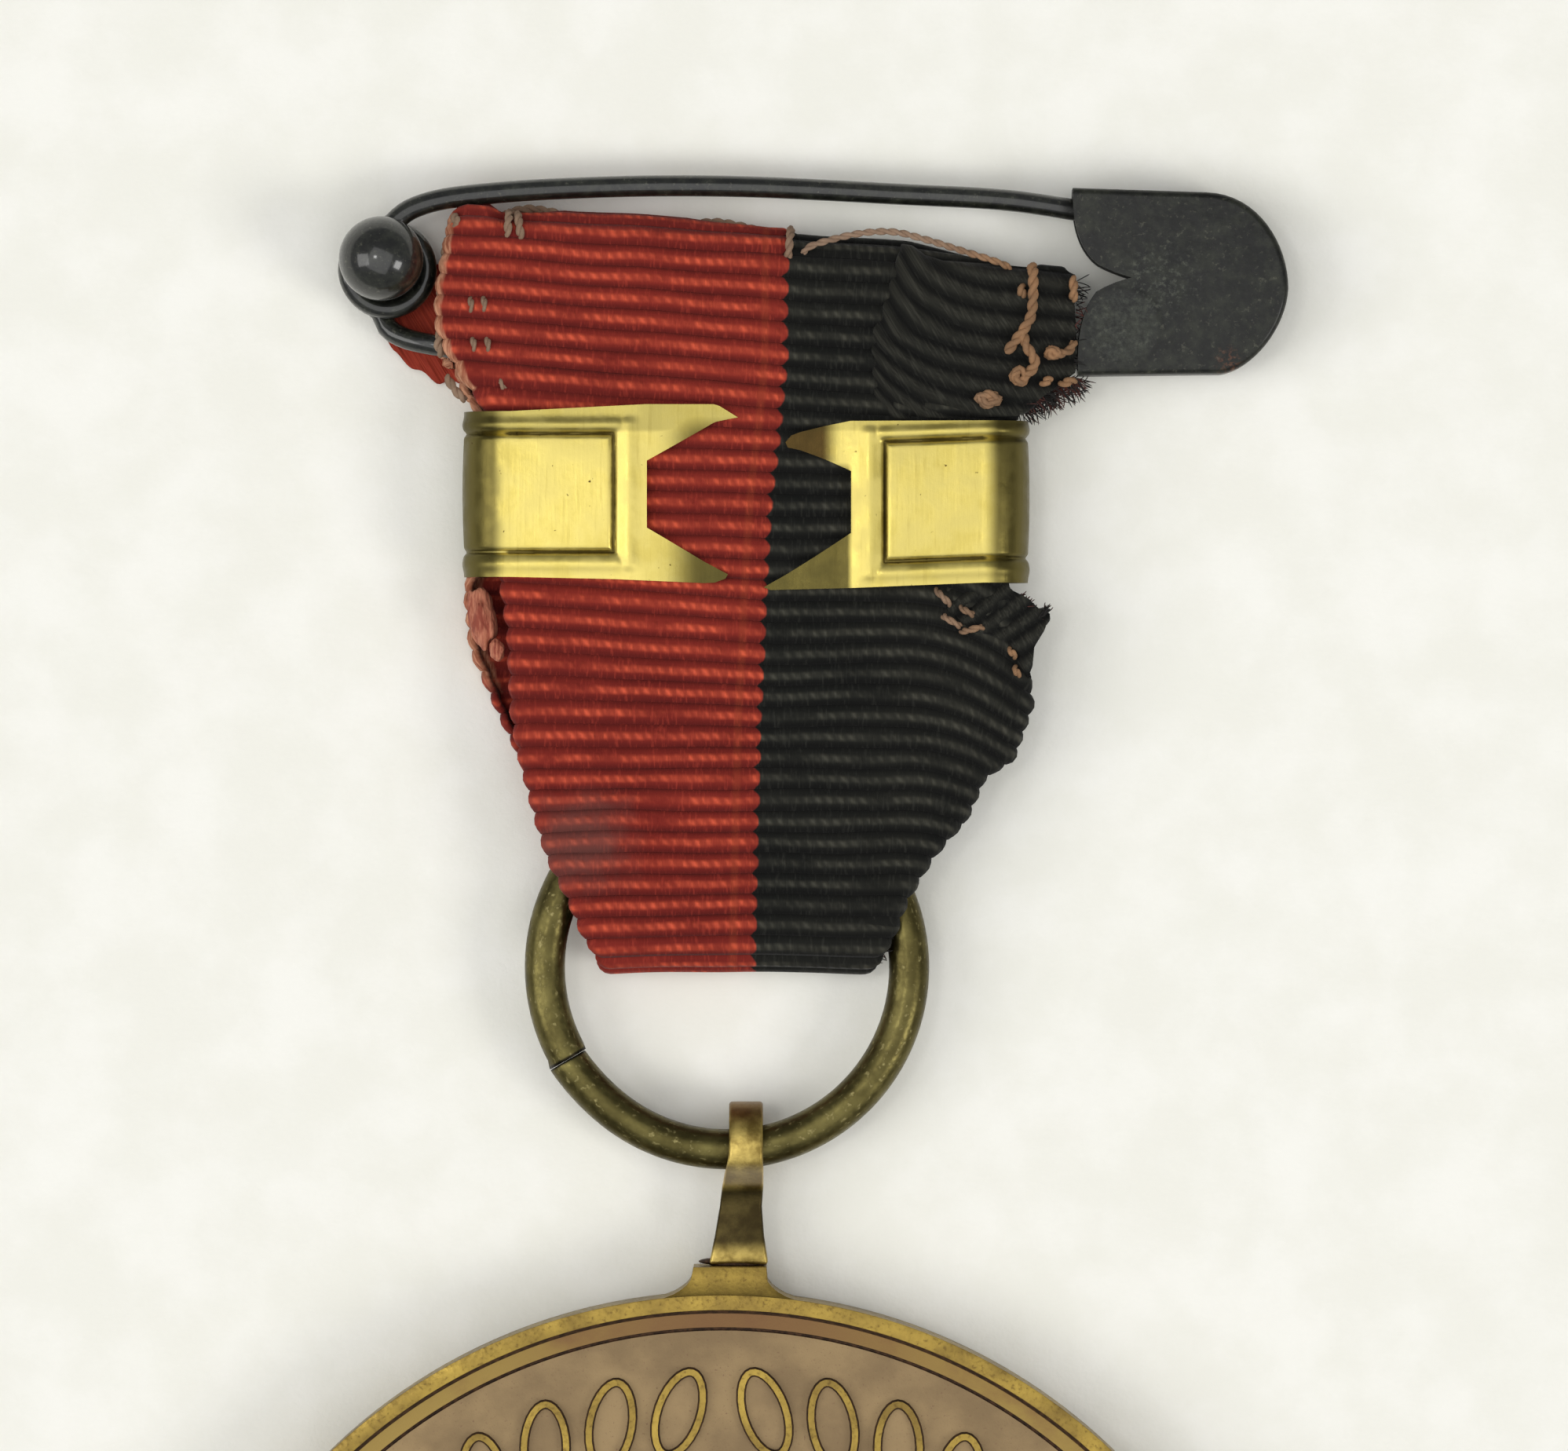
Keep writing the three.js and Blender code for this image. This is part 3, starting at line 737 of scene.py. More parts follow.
CORD_STEPS = 6
CREST_CORD, CREST_Y, TIGHTER_Y = 80.5, 30.91, 35.6
turning = front_reach(TIGHTER_Y)
turning_cord = CREST_CORD - (front_reach(CREST_Y) - turning) / RIB_BELOW
first_cord = turning_cord - turning / RIB_ABOVE
last_cord = turning_cord + (reach[-1] - turning) / RIB_BELOW
first_row, last_row = math.ceil(first_cord * CORD_STEPS), math.floor(last_cord * CORD_STEPS)
ribs = np.arange(first_row, last_row + 1) / CORD_STEPS
ribs_reach = turning + (ribs - turning_cord) * np.where(ribs < turning_cord, RIB_ABOVE, RIB_BELOW)
row_y = np.interp(ribs_reach, gone, route_y)
behind = ribs_reach > gone[np.argmin(route_y)]

EDGE_Y = (25.0, 25.3, 26.0, 27.0, 28.2, 29.5, 31.0, 32.0, 34.0,
          35.8, 36.4, 40.4, 41.0, 41.8, 42.5, 43.5, 45.0, 46.2)
LEFT_X = (-3.35, -3.4, -3.8, -4.2, -4.8, -5.2, -5.6, -5.8, -5.9,
          -6.2, -6.5, -6.6, -7.2, -7.7, -7.95, -7.9, -7.65, -7.5)
RIGHT_X = (4.2, 4.4, 4.75, 5.1, 5.8, 6.75, 7.3, 8.1, 8.65, 8.2, 7.9, 7.9, 8.2, 8.2, 8.2, 8.1, 8.0, 7.8)
BACK_LEFT_X = (-3.3, -3.35, -3.7, -4.1, -4.6, -5.1, -5.62, -6.1, -7.0,
               -7.15, -6.7, -6.6, -7.2, -7.4, -7.4, -7.4, -7.4, -7.4)
SEAM_Y = (25, 27.5, 32, 34, 36, 38, 39, 40, 42, 46.2)
SEAM_X = (0.85, 0.9, 1.0, 1.12, 1.2, 1.32, 1.42, 1.55, 1.75, 1.78)
left = np.where(behind, np.interp(row_y, EDGE_Y, BACK_LEFT_X), np.interp(row_y, EDGE_Y, LEFT_X))
right = np.interp(row_y, EDGE_Y, RIGHT_X) - np.where(behind, 0.25, 0.0)
FLAT_COLUMNS, ROLL_COLUMNS = 84, 6
flat_u = np.linspace(0, 1, FLAT_COLUMNS)
roll = np.linspace(ROLL_TURN, 0, ROLL_COLUMNS, endpoint=False)
turn_left = np.concatenate([roll, np.zeros(FLAT_COLUMNS + ROLL_COLUMNS)])
turn_right = np.concatenate([np.zeros(FLAT_COLUMNS + ROLL_COLUMNS), roll[::-1]])
u = np.concatenate([np.zeros(ROLL_COLUMNS), flat_u, np.ones(ROLL_COLUMNS)])[None, :]
x = (left + ROLL_R)[:, None] * (1 - u) + (right - ROLL_R)[:, None] * u
x = x - ROLL_R * np.sin(turn_left)[None, :] + ROLL_R * np.sin(turn_right)[None, :]
tuck = ROLL_R * (2 - np.cos(turn_left) - np.cos(turn_right))[None, :]
flat_x = x - ROLL_R * (turn_left - np.sin(turn_left)) + ROLL_R * (turn_right - np.sin(turn_right))

# The cords aren't square to the strip: they rise to the left, and droop at the far right.
# The strip is folded over the pin along a slanting line, which cuts across them.
up_strip = np.repeat(row_y[:, None], x.shape[1], axis=1)
SLOPE_Y = (25, 31, 34, 35.5, 36.4, 39.5, 41.2, 43.0, 46.2)
SLOPES = (0.0, 0.0, -0.06, -0.075, -0.03, -0.035, -0.085, -0.08, -0.055)
slope = np.interp(up_strip, SLOPE_Y, SLOPES)
level_x = np.interp(up_strip, (35.8, 36.4, 40.4, 41.2), (1.5, 0.0, 0.0, 0.6))
slope_end = np.interp(up_strip, (35.8, 36.4, 40.4, 41.2), (1.5, 1.5, 5.0, 5.0))
rise = slope * (np.minimum(x, slope_end) - level_x) - 0.012 * np.clip(30 - up_strip, 0, 3) * (x / 4) ** 2
droop = 0.11 * np.clip(x - 5, 0, 4) ** 2
rise -= droop * smoothstep(up_strip, 27.0, 30.5) * smoothstep(up_strip, 41.5, 36.0)
TOP_X = (-7.5, -7.2, -6.6, -6.2, -5.4, -4.5, -1, 0.5, 1.3, 1.8, 1.95, 3.5, 5.2, 8)
TOP_EDGE = (46.2, 46.42, 46.36, 46.1, 46.12, 46.2, 45.98, 45.8, 45.68, 45.68, 45.5, 45.38, 45.3, 44.7)
cut = np.interp(x, TOP_X, TOP_EDGE) - TOP_Y - rise
cut = cut * smoothstep(ribs_reach, front_reach(41.2), front_reach(42.6))[:, None]
cut_reach = ribs_reach[:, None] + cut
base_y = np.interp(cut_reach, gone, route_y) + cut
base_z = np.interp(cut_reach, gone, route_z)
out_y, out_z = np.interp(cut_reach, gone, normal_y), np.interp(cut_reach, gone, normal_z)
rise = np.where(behind[:, None], 0.02 * rise, rise)
xy = np.stack([x, base_y + rise], -1)
place_y = xy[..., 1] + 0.04 * ripple(xy, 2.5, 3.1)
ring_gap = np.hypot(x - RING_X, place_y - RING_Y) - RING_R
over_ring = np.where(behind[:, None] | (place_y < 26.3), 0, 0.26 * np.exp(-(ring_gap / 0.8) ** 2))
swell = 0.05 * ripple(xy, 3.4, 7.7) * smoothstep(place_y, 31, 33) * smoothstep(place_y, 45.5, 44.5)
swell = np.where(behind[:, None], 0, swell)
cords = cord_profile(ribs)[:, None]
side_turn = (turn_left - turn_right)[None, :]
lift = over_ring + swell - tuck + cords * np.cos(side_turn)
points = np.stack([x - cords * np.sin(side_turn), place_y + out_y * lift, base_z + out_z * lift], -1)
seam_line = np.interp(place_y, SEAM_Y, SEAM_X)
strip_weave = np.stack([flat_x, np.repeat(ribs[:, None], x.shape[1], 1), flat_x - seam_line], -1)
edge_left = x - left[:, None]
fray = np.where(behind[:, None] & (place_y > 41), 0.6, 0) * smoothstep(edge_left, 0.8, 0.0)
front_fray, back_fray = np.where(behind[:, None], 0, 0.75), np.where(behind[:, None], 0.62, 0)
fray += smoothstep(edge_left, 0.3, 0.05) * smoothstep(place_y, 41.0, 41.4) * front_fray
fray += back_fray * smoothstep(edge_left, 0.75, 0.2) * smoothstep(place_y, 31.5, 33.5)
strip = cloth_mesh(points, strip_weave, fray)


def cloth_patch(x, y, crest_z, rib, wear, seam_side, thickness=CLOTH_T):
    """A piece of ribbon that lies flat, with its cords where rib says."""
    patch_weave = np.stack([x + 0.6 * y, rib, np.full_like(x, seam_side)], -1)
    return cloth_mesh(np.stack([x, y, crest_z + cord_profile(rib)], -1), patch_weave, wear, thickness)


def spread(rows, columns, left_of, right_of, bottom_of, top_of):
    """x and y of a grid between two side outlines, given by y, and a bottom and top, given by x."""
    v = np.linspace(0, 1, rows)[:, None] * np.ones((1, columns))
    u = np.linspace(0, 1, columns)[None, :] * np.ones((rows, 1))
    y = bottom_of[1][0] + v * (top_of[1][0] - bottom_of[1][0])
    for _ in range(4):
        x = np.interp(y, *left_of) * (1 - u) + np.interp(y, *right_of) * u
        y = np.interp(x, *bottom_of) * (1 - v) + np.interp(x, *top_of) * v
    return x, y


# The back layer ends in a worn red flap, flat on the table beside the pin's coil.
x, y = spread(36, 30, ((41, 45), (-9.45, -9.45)), ((41, 45), (-6.9, -6.9)),
              ((-9.45, -9.3, -8.7, -8.0, -6.9), (42.7, 42.4, 41.9, 41.5, 41.5)),
              ((-9.45, -9.2, -8.9, -8.6, -6.9), (43.0, 43.6, 44.3, 44.8, 44.9)))
y = y + 0.06 * np.sin(8.0 * x) * smoothstep(y, 43.0, 42.0)
nearly_smooth = 0.5 + 0.16 * ripple(np.stack([x, y], -1), 0.7, 6.4)
end_flap = cloth_patch(x, y, 0.29, nearly_smooth, 0 * x - 0.9, -3.0, 0.1)
strip = join([strip, end_flap])
settle(strip, "ribbon_strip", None, "ribbon_cloth", "ribbon_upper", "ribbon_loop", "ribbon_under_flap",
       finish=cloth)
# The ribbon was cut straight across at its full width, which is about twice its red half.
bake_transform(strip)


# ---------------------------------------------------------------------------
# The black side of the ribbon is turned over into a pleat on its right. The pleat
# goes down through the bar, and its raw corner sticks out below.
# ---------------------------------------------------------------------------
PLEAT_PITCH = 0.62
PLEAT_FOLD = ((40.4, 41.6, 42.8, 43.4, 44.7, 45.4), (4.3, 4.18, 4.14, 4.43, 4.8, 5.05))
PLEAT_END = ((40.4, 40.7, 41.5, 42.3, 43.6, 44.5), (8.45, 8.6, 9.9, 9.97, 9.9, 9.92))
x, y = spread(96, 90, PLEAT_FOLD, PLEAT_END,
              ((4, 8.3, 9.0, 9.9), (40.4, 40.5, 40.95, 41.5)),
              ((4.8, 5.35, 5.7, 6.2, 7.4, 8.5, 9.6, 9.9),
               (45.42, 45.3, 45.05, 44.88, 44.8, 44.7, 44.64, 44.5)))
from_fold = x - np.interp(y, *PLEAT_FOLD)
swept = 2.0 * (1 - np.exp(-from_fold / 1.5))
rib = (y + swept + 0.05 * ripple(np.stack([x, y], -1), 1.6, 2.2)) / PLEAT_PITCH
crest_z = 2.6 - 0.42 * (1 - np.sqrt(1 - np.clip(1 - from_fold / 0.5, 0, 1) ** 2))
crest_z = crest_z - 0.14 * smoothstep(y, 41.3, 40.6) - 0.45 * smoothstep(x, 8.6, 10.0)
top_gap = np.interp(x, (4.8, 5.35, 5.7, 6.2, 9.9), (45.42, 45.3, 45.05, 44.88, 44.5)) - y
crest_z = crest_z - 0.5 * (1 - np.sqrt(1 - np.clip(1 - top_gap / 0.5, 0, 1) ** 2))
crest_z = crest_z + 0.07 * ripple(np.stack([x, y], -1), 2.3, 5.5)
pleat = cloth_patch(x, y, crest_z, rib, 0 * x - 1, 2.0)

FLAP_LEFT = ((33.2, 33.9, 34.24, 34.46, 34.87, 35.9), (8.34, 8.04, 7.7, 6.94, 6.27, 5.95))
FLAP_RIGHT = ((33.2, 33.5, 34.03, 34.5, 34.97, 35.1, 35.39, 35.64, 36.1),
              (8.6, 8.71, 8.76, 9.05, 9.2, 8.9, 8.6, 8.1, 7.9))
x, y = spread(60, 56, FLAP_LEFT, FLAP_RIGHT, ((5, 10), (33.2, 33.2)), ((5, 10), (36.1, 36.1)))
rib = (0.8 * y - 0.6 * x + 0.04 * ripple(np.stack([x, y], -1), 1.2, 9.2)) / 0.5
flap_edge = x - np.interp(y, *FLAP_LEFT)
crest_z = 2.62 - 0.3 * (1 - smoothstep(flap_edge, 0.0, 0.3)) - 0.5 * smoothstep(x, 8.3, 9.3)
crest_z = crest_z - 0.2 * smoothstep(y, 35.4, 35.9) + 0.08 * ripple(np.stack([x, y], -1), 1.2, 1.5)
corner = cloth_patch(x, y, crest_z, rib, 0 * x - 1, 2.0)
pleat = join([pleat, corner])
settle(pleat, "ribbon_pleat", "ribbon", "ribbon_cloth", "ribbon_side_flap", finish=cloth)


# ---------------------------------------------------------------------------
# The bar is one band of thin pressed brass with a framed panel and a swallow-tailed
# prong pair at each end, bent round both edges of the ribbon and pinched shut on it.
# ---------------------------------------------------------------------------
BAR_T, BAR_BEND = 0.26, 1.3
BAR_TOP_Z, BAR_LOW_Z = 2.85, 0.05
BEND_LEFT, BEND_RIGHT = -7.25 + BAR_BEND, 8.6 - BAR_BEND

brass = Finish("bright_pressed_brass")
dirt = brass.node("Attribute", {"attribute_name": "dirt"}, out="Fac")
bar_x = brass.along("X")
bar_y = brass.along("Y")
dull = brass.noise(1.3, 5)
scratch_place = brass.node("Mapping", {"vector_type": "POINT"}, {
    0: brass.place, "Rotation": (0, 0, math.radians(55)), "Scale": (9, 0.7, 1)})
scratches = brass.noise(1.0, 3, place=scratch_place)
fleck = brass.noise(5.0, 2)
bar_colour = brass.mix(brass.ease(dull, 0.3, 0.7), paint(200, 182, 96), paint(220, 203, 118))
bar_colour = brass.mix(0.2 * brass.ease(scratches, 0.58, 0.72), bar_colour, paint(160, 138, 60))
# Painted shade darkens the bends where the band turns round the ribbon's edges.
outer = brass.ease((bar_x - 0.675).unsigned(), 6.65, 7.15)
bar_colour = brass.mix(0.9 * outer, bar_colour, paint(82, 74, 38))
bar_colour = brass.mix(brass.ease(fleck, 0.72, 0.78), bar_colour, paint(84, 66, 26))
copper_tip = brass.ease(bar_x, 3.4, 2.8) * brass.ease(bar_x, 1.2, 1.4) * brass.ease(bar_y, 39.0, 39.3)
bar_colour = brass.mix(0.94 * copper_tip, bar_colour, paint(44, 20, 8))
# The sunken lines of the relief are coloured darker.
in_lines = brass.ease(dirt + 0.4 * (fleck - 0.5), 0.25, 0.85)
bar_colour = brass.mix(0.85 * in_lines, bar_colour, paint(70, 56, 22))
# Painted shade: the prongs darken towards their drooping tips and the upper rails are darker. The right end
# is painted a little darker as well.
right_prongs = brass.ease(bar_x, 3.72, 3.5) * brass.ease(bar_x, 0.9, 1.1) * brass.ease(bar_y, 39.3, 38.9)
tips = brass.ease(bar_x, -2.0, -0.6) * brass.ease(bar_x, 0.9, 0.6) * brass.ease(bar_y, 41.0, 39.8)
top_rail = 0.35 * brass.ease(bar_y, 40.0, 40.15)
right_end = 0.14 * brass.ease(bar_x, 1.0, 4.0)
shade_and_darker_right_end = (0.92 * right_prongs.or_larger(tips)).or_larger(top_rail.or_larger(right_end))
bar_colour = brass.mix(shade_and_darker_right_end, bar_colour, paint(62, 55, 26))
brass.shade(Base_Color=bar_colour, Metallic=0.95,
            Roughness=0.32 + 0.2 * brass.ease(dull, 0.35, 0.7) + 0.25 * dirt)
brass.bump(scratches * 0.15 + dull * 0.5 + brass.noise(0.5, 1) * 2.0, 0.06, 0.5)


def bar_face(x, y, line_x, low_y, high_y, side, bead_low, bead_high, end_of_bead):
    """Height of the pressed relief at each place of one end, and how near its sunken line each place lies.
    """
    along = np.clip((x - line_x) * side, 0, None)
    inside = (x - line_x) * side > 0
    near_rail = np.minimum(np.abs(y - low_y), np.abs(y - high_y))
    near_rail = np.where(inside, near_rail, np.hypot(near_rail, (x - line_x)))
    near_side = np.where((y > low_y) & (y < high_y), np.abs(x - line_x), 9)
    gap = np.minimum(near_rail, near_side)
    fade = 1 - smoothstep(along, 2.9, 3.5)
    line = np.exp(-(gap / 0.07) ** 2) * fade
    beads = np.exp(-((y - bead_low) / 0.2) ** 2) + np.exp(-((y - bead_high) / 0.17) ** 2)
    beads = beads * smoothstep((x - end_of_bead) * side, -0.25, 0.1)
    border = np.exp(-((x - line_x + 0.42 * side) / 0.24) ** 2)
    border = border * smoothstep(y, bead_low - 0.3, bead_low) * smoothstep(y, bead_high + 0.3, bead_high)
    off_middle = (y - (low_y + high_y) / 2) / (high_y - low_y) * 2
    panel = np.clip(1 - off_middle ** 2, 0, 1) * np.where(inside, 1, 0)
    return 0.075 * np.maximum(beads, border) - 0.11 * line + 0.07 * panel, line


LEFT_TOP = ((-7.25, -6.0, -2.1, -0.2, 0.45), (40.58, 40.63, 40.83, 40.83, 40.58))
LEFT_LOW = ((-7.25, -6.2, -3.0, -0.5, 0.2), (35.8, 36.0, 35.93, 35.82, 35.85))
RIGHT_TOP = ((1.75, 2.2, 2.9, 3.6, 8.2, 8.6), (39.88, 40.05, 40.22, 40.36, 40.38, 40.3))
RIGHT_LOW = ((1.15, 3.6, 8.2, 8.6), (35.62, 35.68, 35.87, 35.8))
LEFT_TIPS = ((0, 0.02, 0.045, 0.3, 0.68, 0.975, 1), (-0.2, 0.1, 0.17, -2.1, -2.1, 0.45, -0.05))
RIGHT_TIPS = ((0, 0.02, 0.33, 0.7, 0.93, 0.97, 1), (1.35, 1.18, 3.62, 3.62, 1.85, 1.78, 1.95))
v = np.unique(np.concatenate([np.linspace(0, 1, 104), LEFT_TIPS[0], RIGHT_TIPS[0]]))[:, None]
PANEL_COLUMNS, PRONG_COLUMNS, BEND_COLUMNS, BACK_COLUMNS = 80, 24, 12, 24


def bar_end(tips, bend_x, prong_x, top, low):
    """x and y over one front end, from the prongs' tips to where the bend begins."""
    tip_x = np.interp(v, *tips)
    x = np.concatenate([
        tip_x + (prong_x - tip_x) * np.linspace(0, 1, PRONG_COLUMNS, endpoint=False)[None, :],
        np.linspace(prong_x, bend_x, PANEL_COLUMNS)[None, :] + 0 * v], 1)
    return x, np.interp(x, *low) * (1 - v) + np.interp(x, *top) * v


x_left, y_left = bar_end(LEFT_TIPS, BEND_LEFT, -2.25, LEFT_TOP, LEFT_LOW)
x_right, y_right = bar_end(RIGHT_TIPS, BEND_RIGHT, 3.75, RIGHT_TOP, RIGHT_LOW)
tilt = 0.04 * (x_right - 6.2)
rise_left, dirt_left = bar_face(x_left, y_left, -3.04, 36.69, 40.01, -1, 36.36, 40.26, -2.85)
rise_right, dirt_right = bar_face(x_right, y_right - tilt, 4.57, 36.48, 39.84, 1, 36.16, 40.08, 4.4)
droop_left = 0.1 * smoothstep(x_left, -2.0, 0.4) + 0.05 * smoothstep(x_left, -2.3, -1.6)
droop_right = 0.1 * smoothstep(x_right, 3.5, 1.4) + 0.05 * smoothstep(x_right, 3.9, 3.2)


def bar_bend(bend_x, side, y, rise, count):
    """Goes round one edge of the ribbon, from the front to the back, and carries the relief along."""
    turn = np.linspace(0, math.pi, count + 2)[1:-1]
    fading = np.linspace(1, 0.3, count)
    out = BAR_BEND + rise * fading
    x = bend_x + side * out * np.sin(turn)
    middle = (BAR_TOP_Z + BAR_LOW_Z) / 2
    flat = (BAR_TOP_Z - BAR_LOW_Z) / 2 - BAR_BEND
    z = middle + flat * np.sign(np.cos(turn)) * np.minimum(1, np.abs(np.cos(turn)) * 4) + out * np.cos(turn)
    return np.stack([x + 0 * v, y + 0 * turn, z + 0 * v], -1)


front_left = np.stack([x_left, y_left, BAR_TOP_Z - 0.08 + rise_left - droop_left], -1)
front_right = np.stack([x_right, y_right, BAR_TOP_Z - 0.08 + rise_right - droop_right], -1)
edge_left_y, edge_right_y = y_left[:, -1:], y_right[:, -1:]
bend_l = bar_bend(BEND_LEFT, -1, edge_left_y, rise_left[:, -1:], BEND_COLUMNS)
bend_r = bar_bend(BEND_RIGHT, 1, edge_right_y, rise_right[:, -1:], BEND_COLUMNS)
back_u = np.linspace(0, 1, BACK_COLUMNS)[None, :]
back = np.stack([BEND_LEFT + (BEND_RIGHT - BEND_LEFT) * back_u + 0 * v,
                 edge_left_y * (1 - back_u) + edge_right_y * back_u,
                 np.full((len(v), BACK_COLUMNS), BAR_LOW_Z)], -1)
band = np.concatenate([front_left, bend_l, back, bend_r[:, ::-1], front_right[:, ::-1]], 1)
band_dirt = np.concatenate([
    dirt_left, np.zeros((len(v), 2 * BEND_COLUMNS + BACK_COLUMNS)), dirt_right[:, ::-1]], 1)
bar = grid_piece(band.swapaxes(0, 1), dirt=band_dirt.T)
add_modifier(bar, "SOLIDIFY", thickness=BAR_T, offset=-1)
smooth(bar, 40)
settle(bar, "bar_band", "ribbon", "pressed_brass", "ribbon_bar", finish=brass)


# ---------------------------------------------------------------------------
# The safety pin is one length of black lacquered spring wire, coiled once round the
# shank of a ball, with a folded steel guard over its two ends. Its lacquer is rubbed.
# ---------------------------------------------------------------------------
PIN_WIRE, COIL_WIRE = 0.3, 0.28
COIL_X, COIL_Y, COIL_R = -9.41, 44.66, 1.11
BALL_X, BALL_Y, BALL_R = -9.56, 44.93, 1.19
BALL_Z, SEAT_Z, SHANK_R = 2.1, 1.9, 0.55

lacquer = Finish("black_lacquer")
rubs = lacquer.noise(2.2, 6, 0.65)
dust = lacquer.noise(7.0, 5, 0.7)
dent = lacquer.noise(1.4, 3)
lobe = lacquer.away_from(11.2, 43.0)
rust_spot = lacquer.away_from(14.2, 42.1, 1.6)
smudge = lacquer.away_from(12.2, 44.3)
pin_colour = lacquer.mix(lacquer.ease(rubs, 0.4, 0.7), paint(14, 15, 12), paint(38, 40, 32))
pin_colour = lacquer.mix(0.5 * lacquer.ease(dust, 0.56, 0.72), pin_colour, paint(92, 92, 78))
dusty = lacquer.ease(lobe, 1.15, 0.8) * lacquer.ease(dust, 0.35, 0.65)
dusty = dusty + lacquer.ease(smudge, 1.5, 0.4) * lacquer.ease(dust, 0.5, 0.6)
pin_colour = lacquer.mix(0.25 * dusty.maths("MINIMUM", dusty, 1), pin_colour, paint(104, 108, 100))
rusty = lacquer.ease(rust_spot, 0.7, 0.2) * lacquer.ease(dust, 0.48, 0.56)
pin_colour = lacquer.mix(rusty, pin_colour, paint(120, 70, 44))
ring_press = lacquer.ease((lobe - 1.05).unsigned(), 0.2, 0.0)
lacquer.shade(Base_Color=pin_colour, Roughness=0.34 + 0.3 * dusty + 0.2 * rubs)
lacquer.shader.inputs["Specular IOR Level"].default_value = 0.25
lacquer.shader.inputs["Coat Roughness"].default_value = 0.12
on_guard = lacquer.ease(lacquer.along("X"), 9.4, 9.8)
lacquer.shade(Coat_Weight=0.9 - 0.8 * on_guard)
lacquer.bump(dent * 1.2 + dust * 0.15 + ring_press * 0.5, 0.06, 0.6)


def flowing(points, count):
    """A smooth path through the points, as so many places an equal way apart."""
    knots = np.array([points[0], *points, points[-1]], float)
    path = []
    for before, here, there, after in zip(knots, knots[1:], knots[2:], knots[3:]):
        t = np.linspace(0, 1, 24, endpoint=False)[:, None]
        path.append(0.5 * (2 * here + (there - before) * t
                           + (2 * before - 5 * here + 4 * there - after) * t ** 2
                           + (3 * here - before - 3 * there + after) * t ** 3))
    path = np.concatenate(path + [knots[-1:]])
    gone = np.concatenate([[0], np.cumsum(np.linalg.norm(np.diff(path, axis=0), axis=1))])
    return np.stack([np.interp(np.linspace(0, gone[-1], count), gone, path[:, k]) for k in range(3)], -1)


def wire(paths, radius, sides=8, ends=None):
    """Round wire along each path, as one mesh. ends gives the radius there as a share."""
    curve = bpy.data.curves.new("wire", "CURVE")
    curve.dimensions = "3D"
    curve.bevel_depth, curve.bevel_resolution = radius, sides // 2 - 2
    curve.use_fill_caps = True
    for path in paths:
        spline = curve.splines.new("POLY")
        spline.points.add(len(path) - 1)
        spline.points.foreach_set("co", np.hstack([path, np.ones((len(path), 1))]).reshape(-1))
        if ends:
            spline.points[0].radius = spline.points[-1].radius = ends
    drawn = bpy.data.objects.new("wire", curve)
    bpy.context.scene.collection.objects.link(drawn)
    only(drawn)
    bpy.ops.object.convert(target="MESH")
    made = bpy.context.object
    smooth(made, 50)
    return made


ARM = [(-9.79, 43.64, 0.58), (-9.58, 43.42, 0.62), (-9.38, 42.99, 0.76), (-8.9, 42.72, 0.95),
       (-8.4, 42.59, 1.1), (-7.9, 42.5, 1.18), (-7.2, 42.42, 1.2), (-4, 42.42, 1.2),
       (0, 42.4, 1.2), (5, 42.41, 1.2), (11.6, 42.4, 1.2)]
arm = wire([flowing(ARM, 90)], PIN_WIRE, 16)
settle(arm, "pin_arm", "pin", "black_enamel", "pin_fixed_arm", finish=lacquer)

NEEDLE = [(-9.6, 45.75, 1.49), (-9.3, 45.9, 1.49), (-9.02, 46.16, 1.48), (-8.66, 46.38, 1.46),
          (-8, 46.59, 1.42), (-7, 46.74, 1.36), (-5, 46.9, 1.3), (-2, 47, 1.24),
          (1, 46.97, 1.2), (5, 46.77, 1.2), (8, 46.6, 1.2), (10.5, 46.25, 1.2), (12.6, 46.1, 1.2)]
needle = wire([flowing(NEEDLE, 110)], PIN_WIRE, 16, ends=0.85)
settle(needle, "pin_needle_wire", "needle", "black_enamel", "pin_needle", finish=lacquer)

turns = np.radians(np.linspace(250, 250 - 510, 110))
coil_path = np.stack([COIL_X + COIL_R * np.cos(turns), COIL_Y + COIL_R * np.sin(turns),
                      np.linspace(0.58, 1.49, len(turns))], -1)
coil = wire([coil_path], COIL_WIRE, 16)
settle(coil, "pin_coil", "pin", "black_enamel", "spring_coil", finish=lacquer)

bpy.ops.mesh.primitive_uv_sphere_add(
    segments=64, ring_count=40, radius=BALL_R, location=(BALL_X, BALL_Y, BALL_Z))
ball = bpy.context.object
done(ball)
whole(ball)
bpy.ops.mesh.bisect(plane_co=(0, 0, SEAT_Z), plane_no=(0, 0, -1), use_fill=True, clear_outer=True)
bpy.ops.object.mode_set(mode="OBJECT")
pick(ball, "FACE", lambda c, n: n.z < -0.99 and c.z < SEAT_Z + 0.01)
inset(BALL_R - SHANK_R - 0.02)
bpy.ops.mesh.extrude_region_move(TRANSFORM_OT_translate={"value": (0, 0, 0.1 - SEAT_Z)})
inset(0.12, 0.08)
bpy.ops.object.mode_set(mode="OBJECT")
smooth(ball, 40)
settle(ball, "pin_ball", "pin", "black_enamel", "ball_rivet", finish=lacquer)

CAP_LOW_Z, CAP_TOP_Z, CAP_SHEET, CAP_ROUND = 0.3, 2.1, 0.25, 0.7


def arc_to(path, *handles):
    """Adds a curve from the path's last place to the last handle."""
    places = [np.array(p, float) for p in (path[-1], *handles)]
    for t in np.linspace(0, 1, 17)[1:]:
        level = places
        while len(level) > 1:
            level = [a * (1 - t) + b * t for a, b in zip(level, level[1:])]
        path.append(tuple(level[0]))
    return path


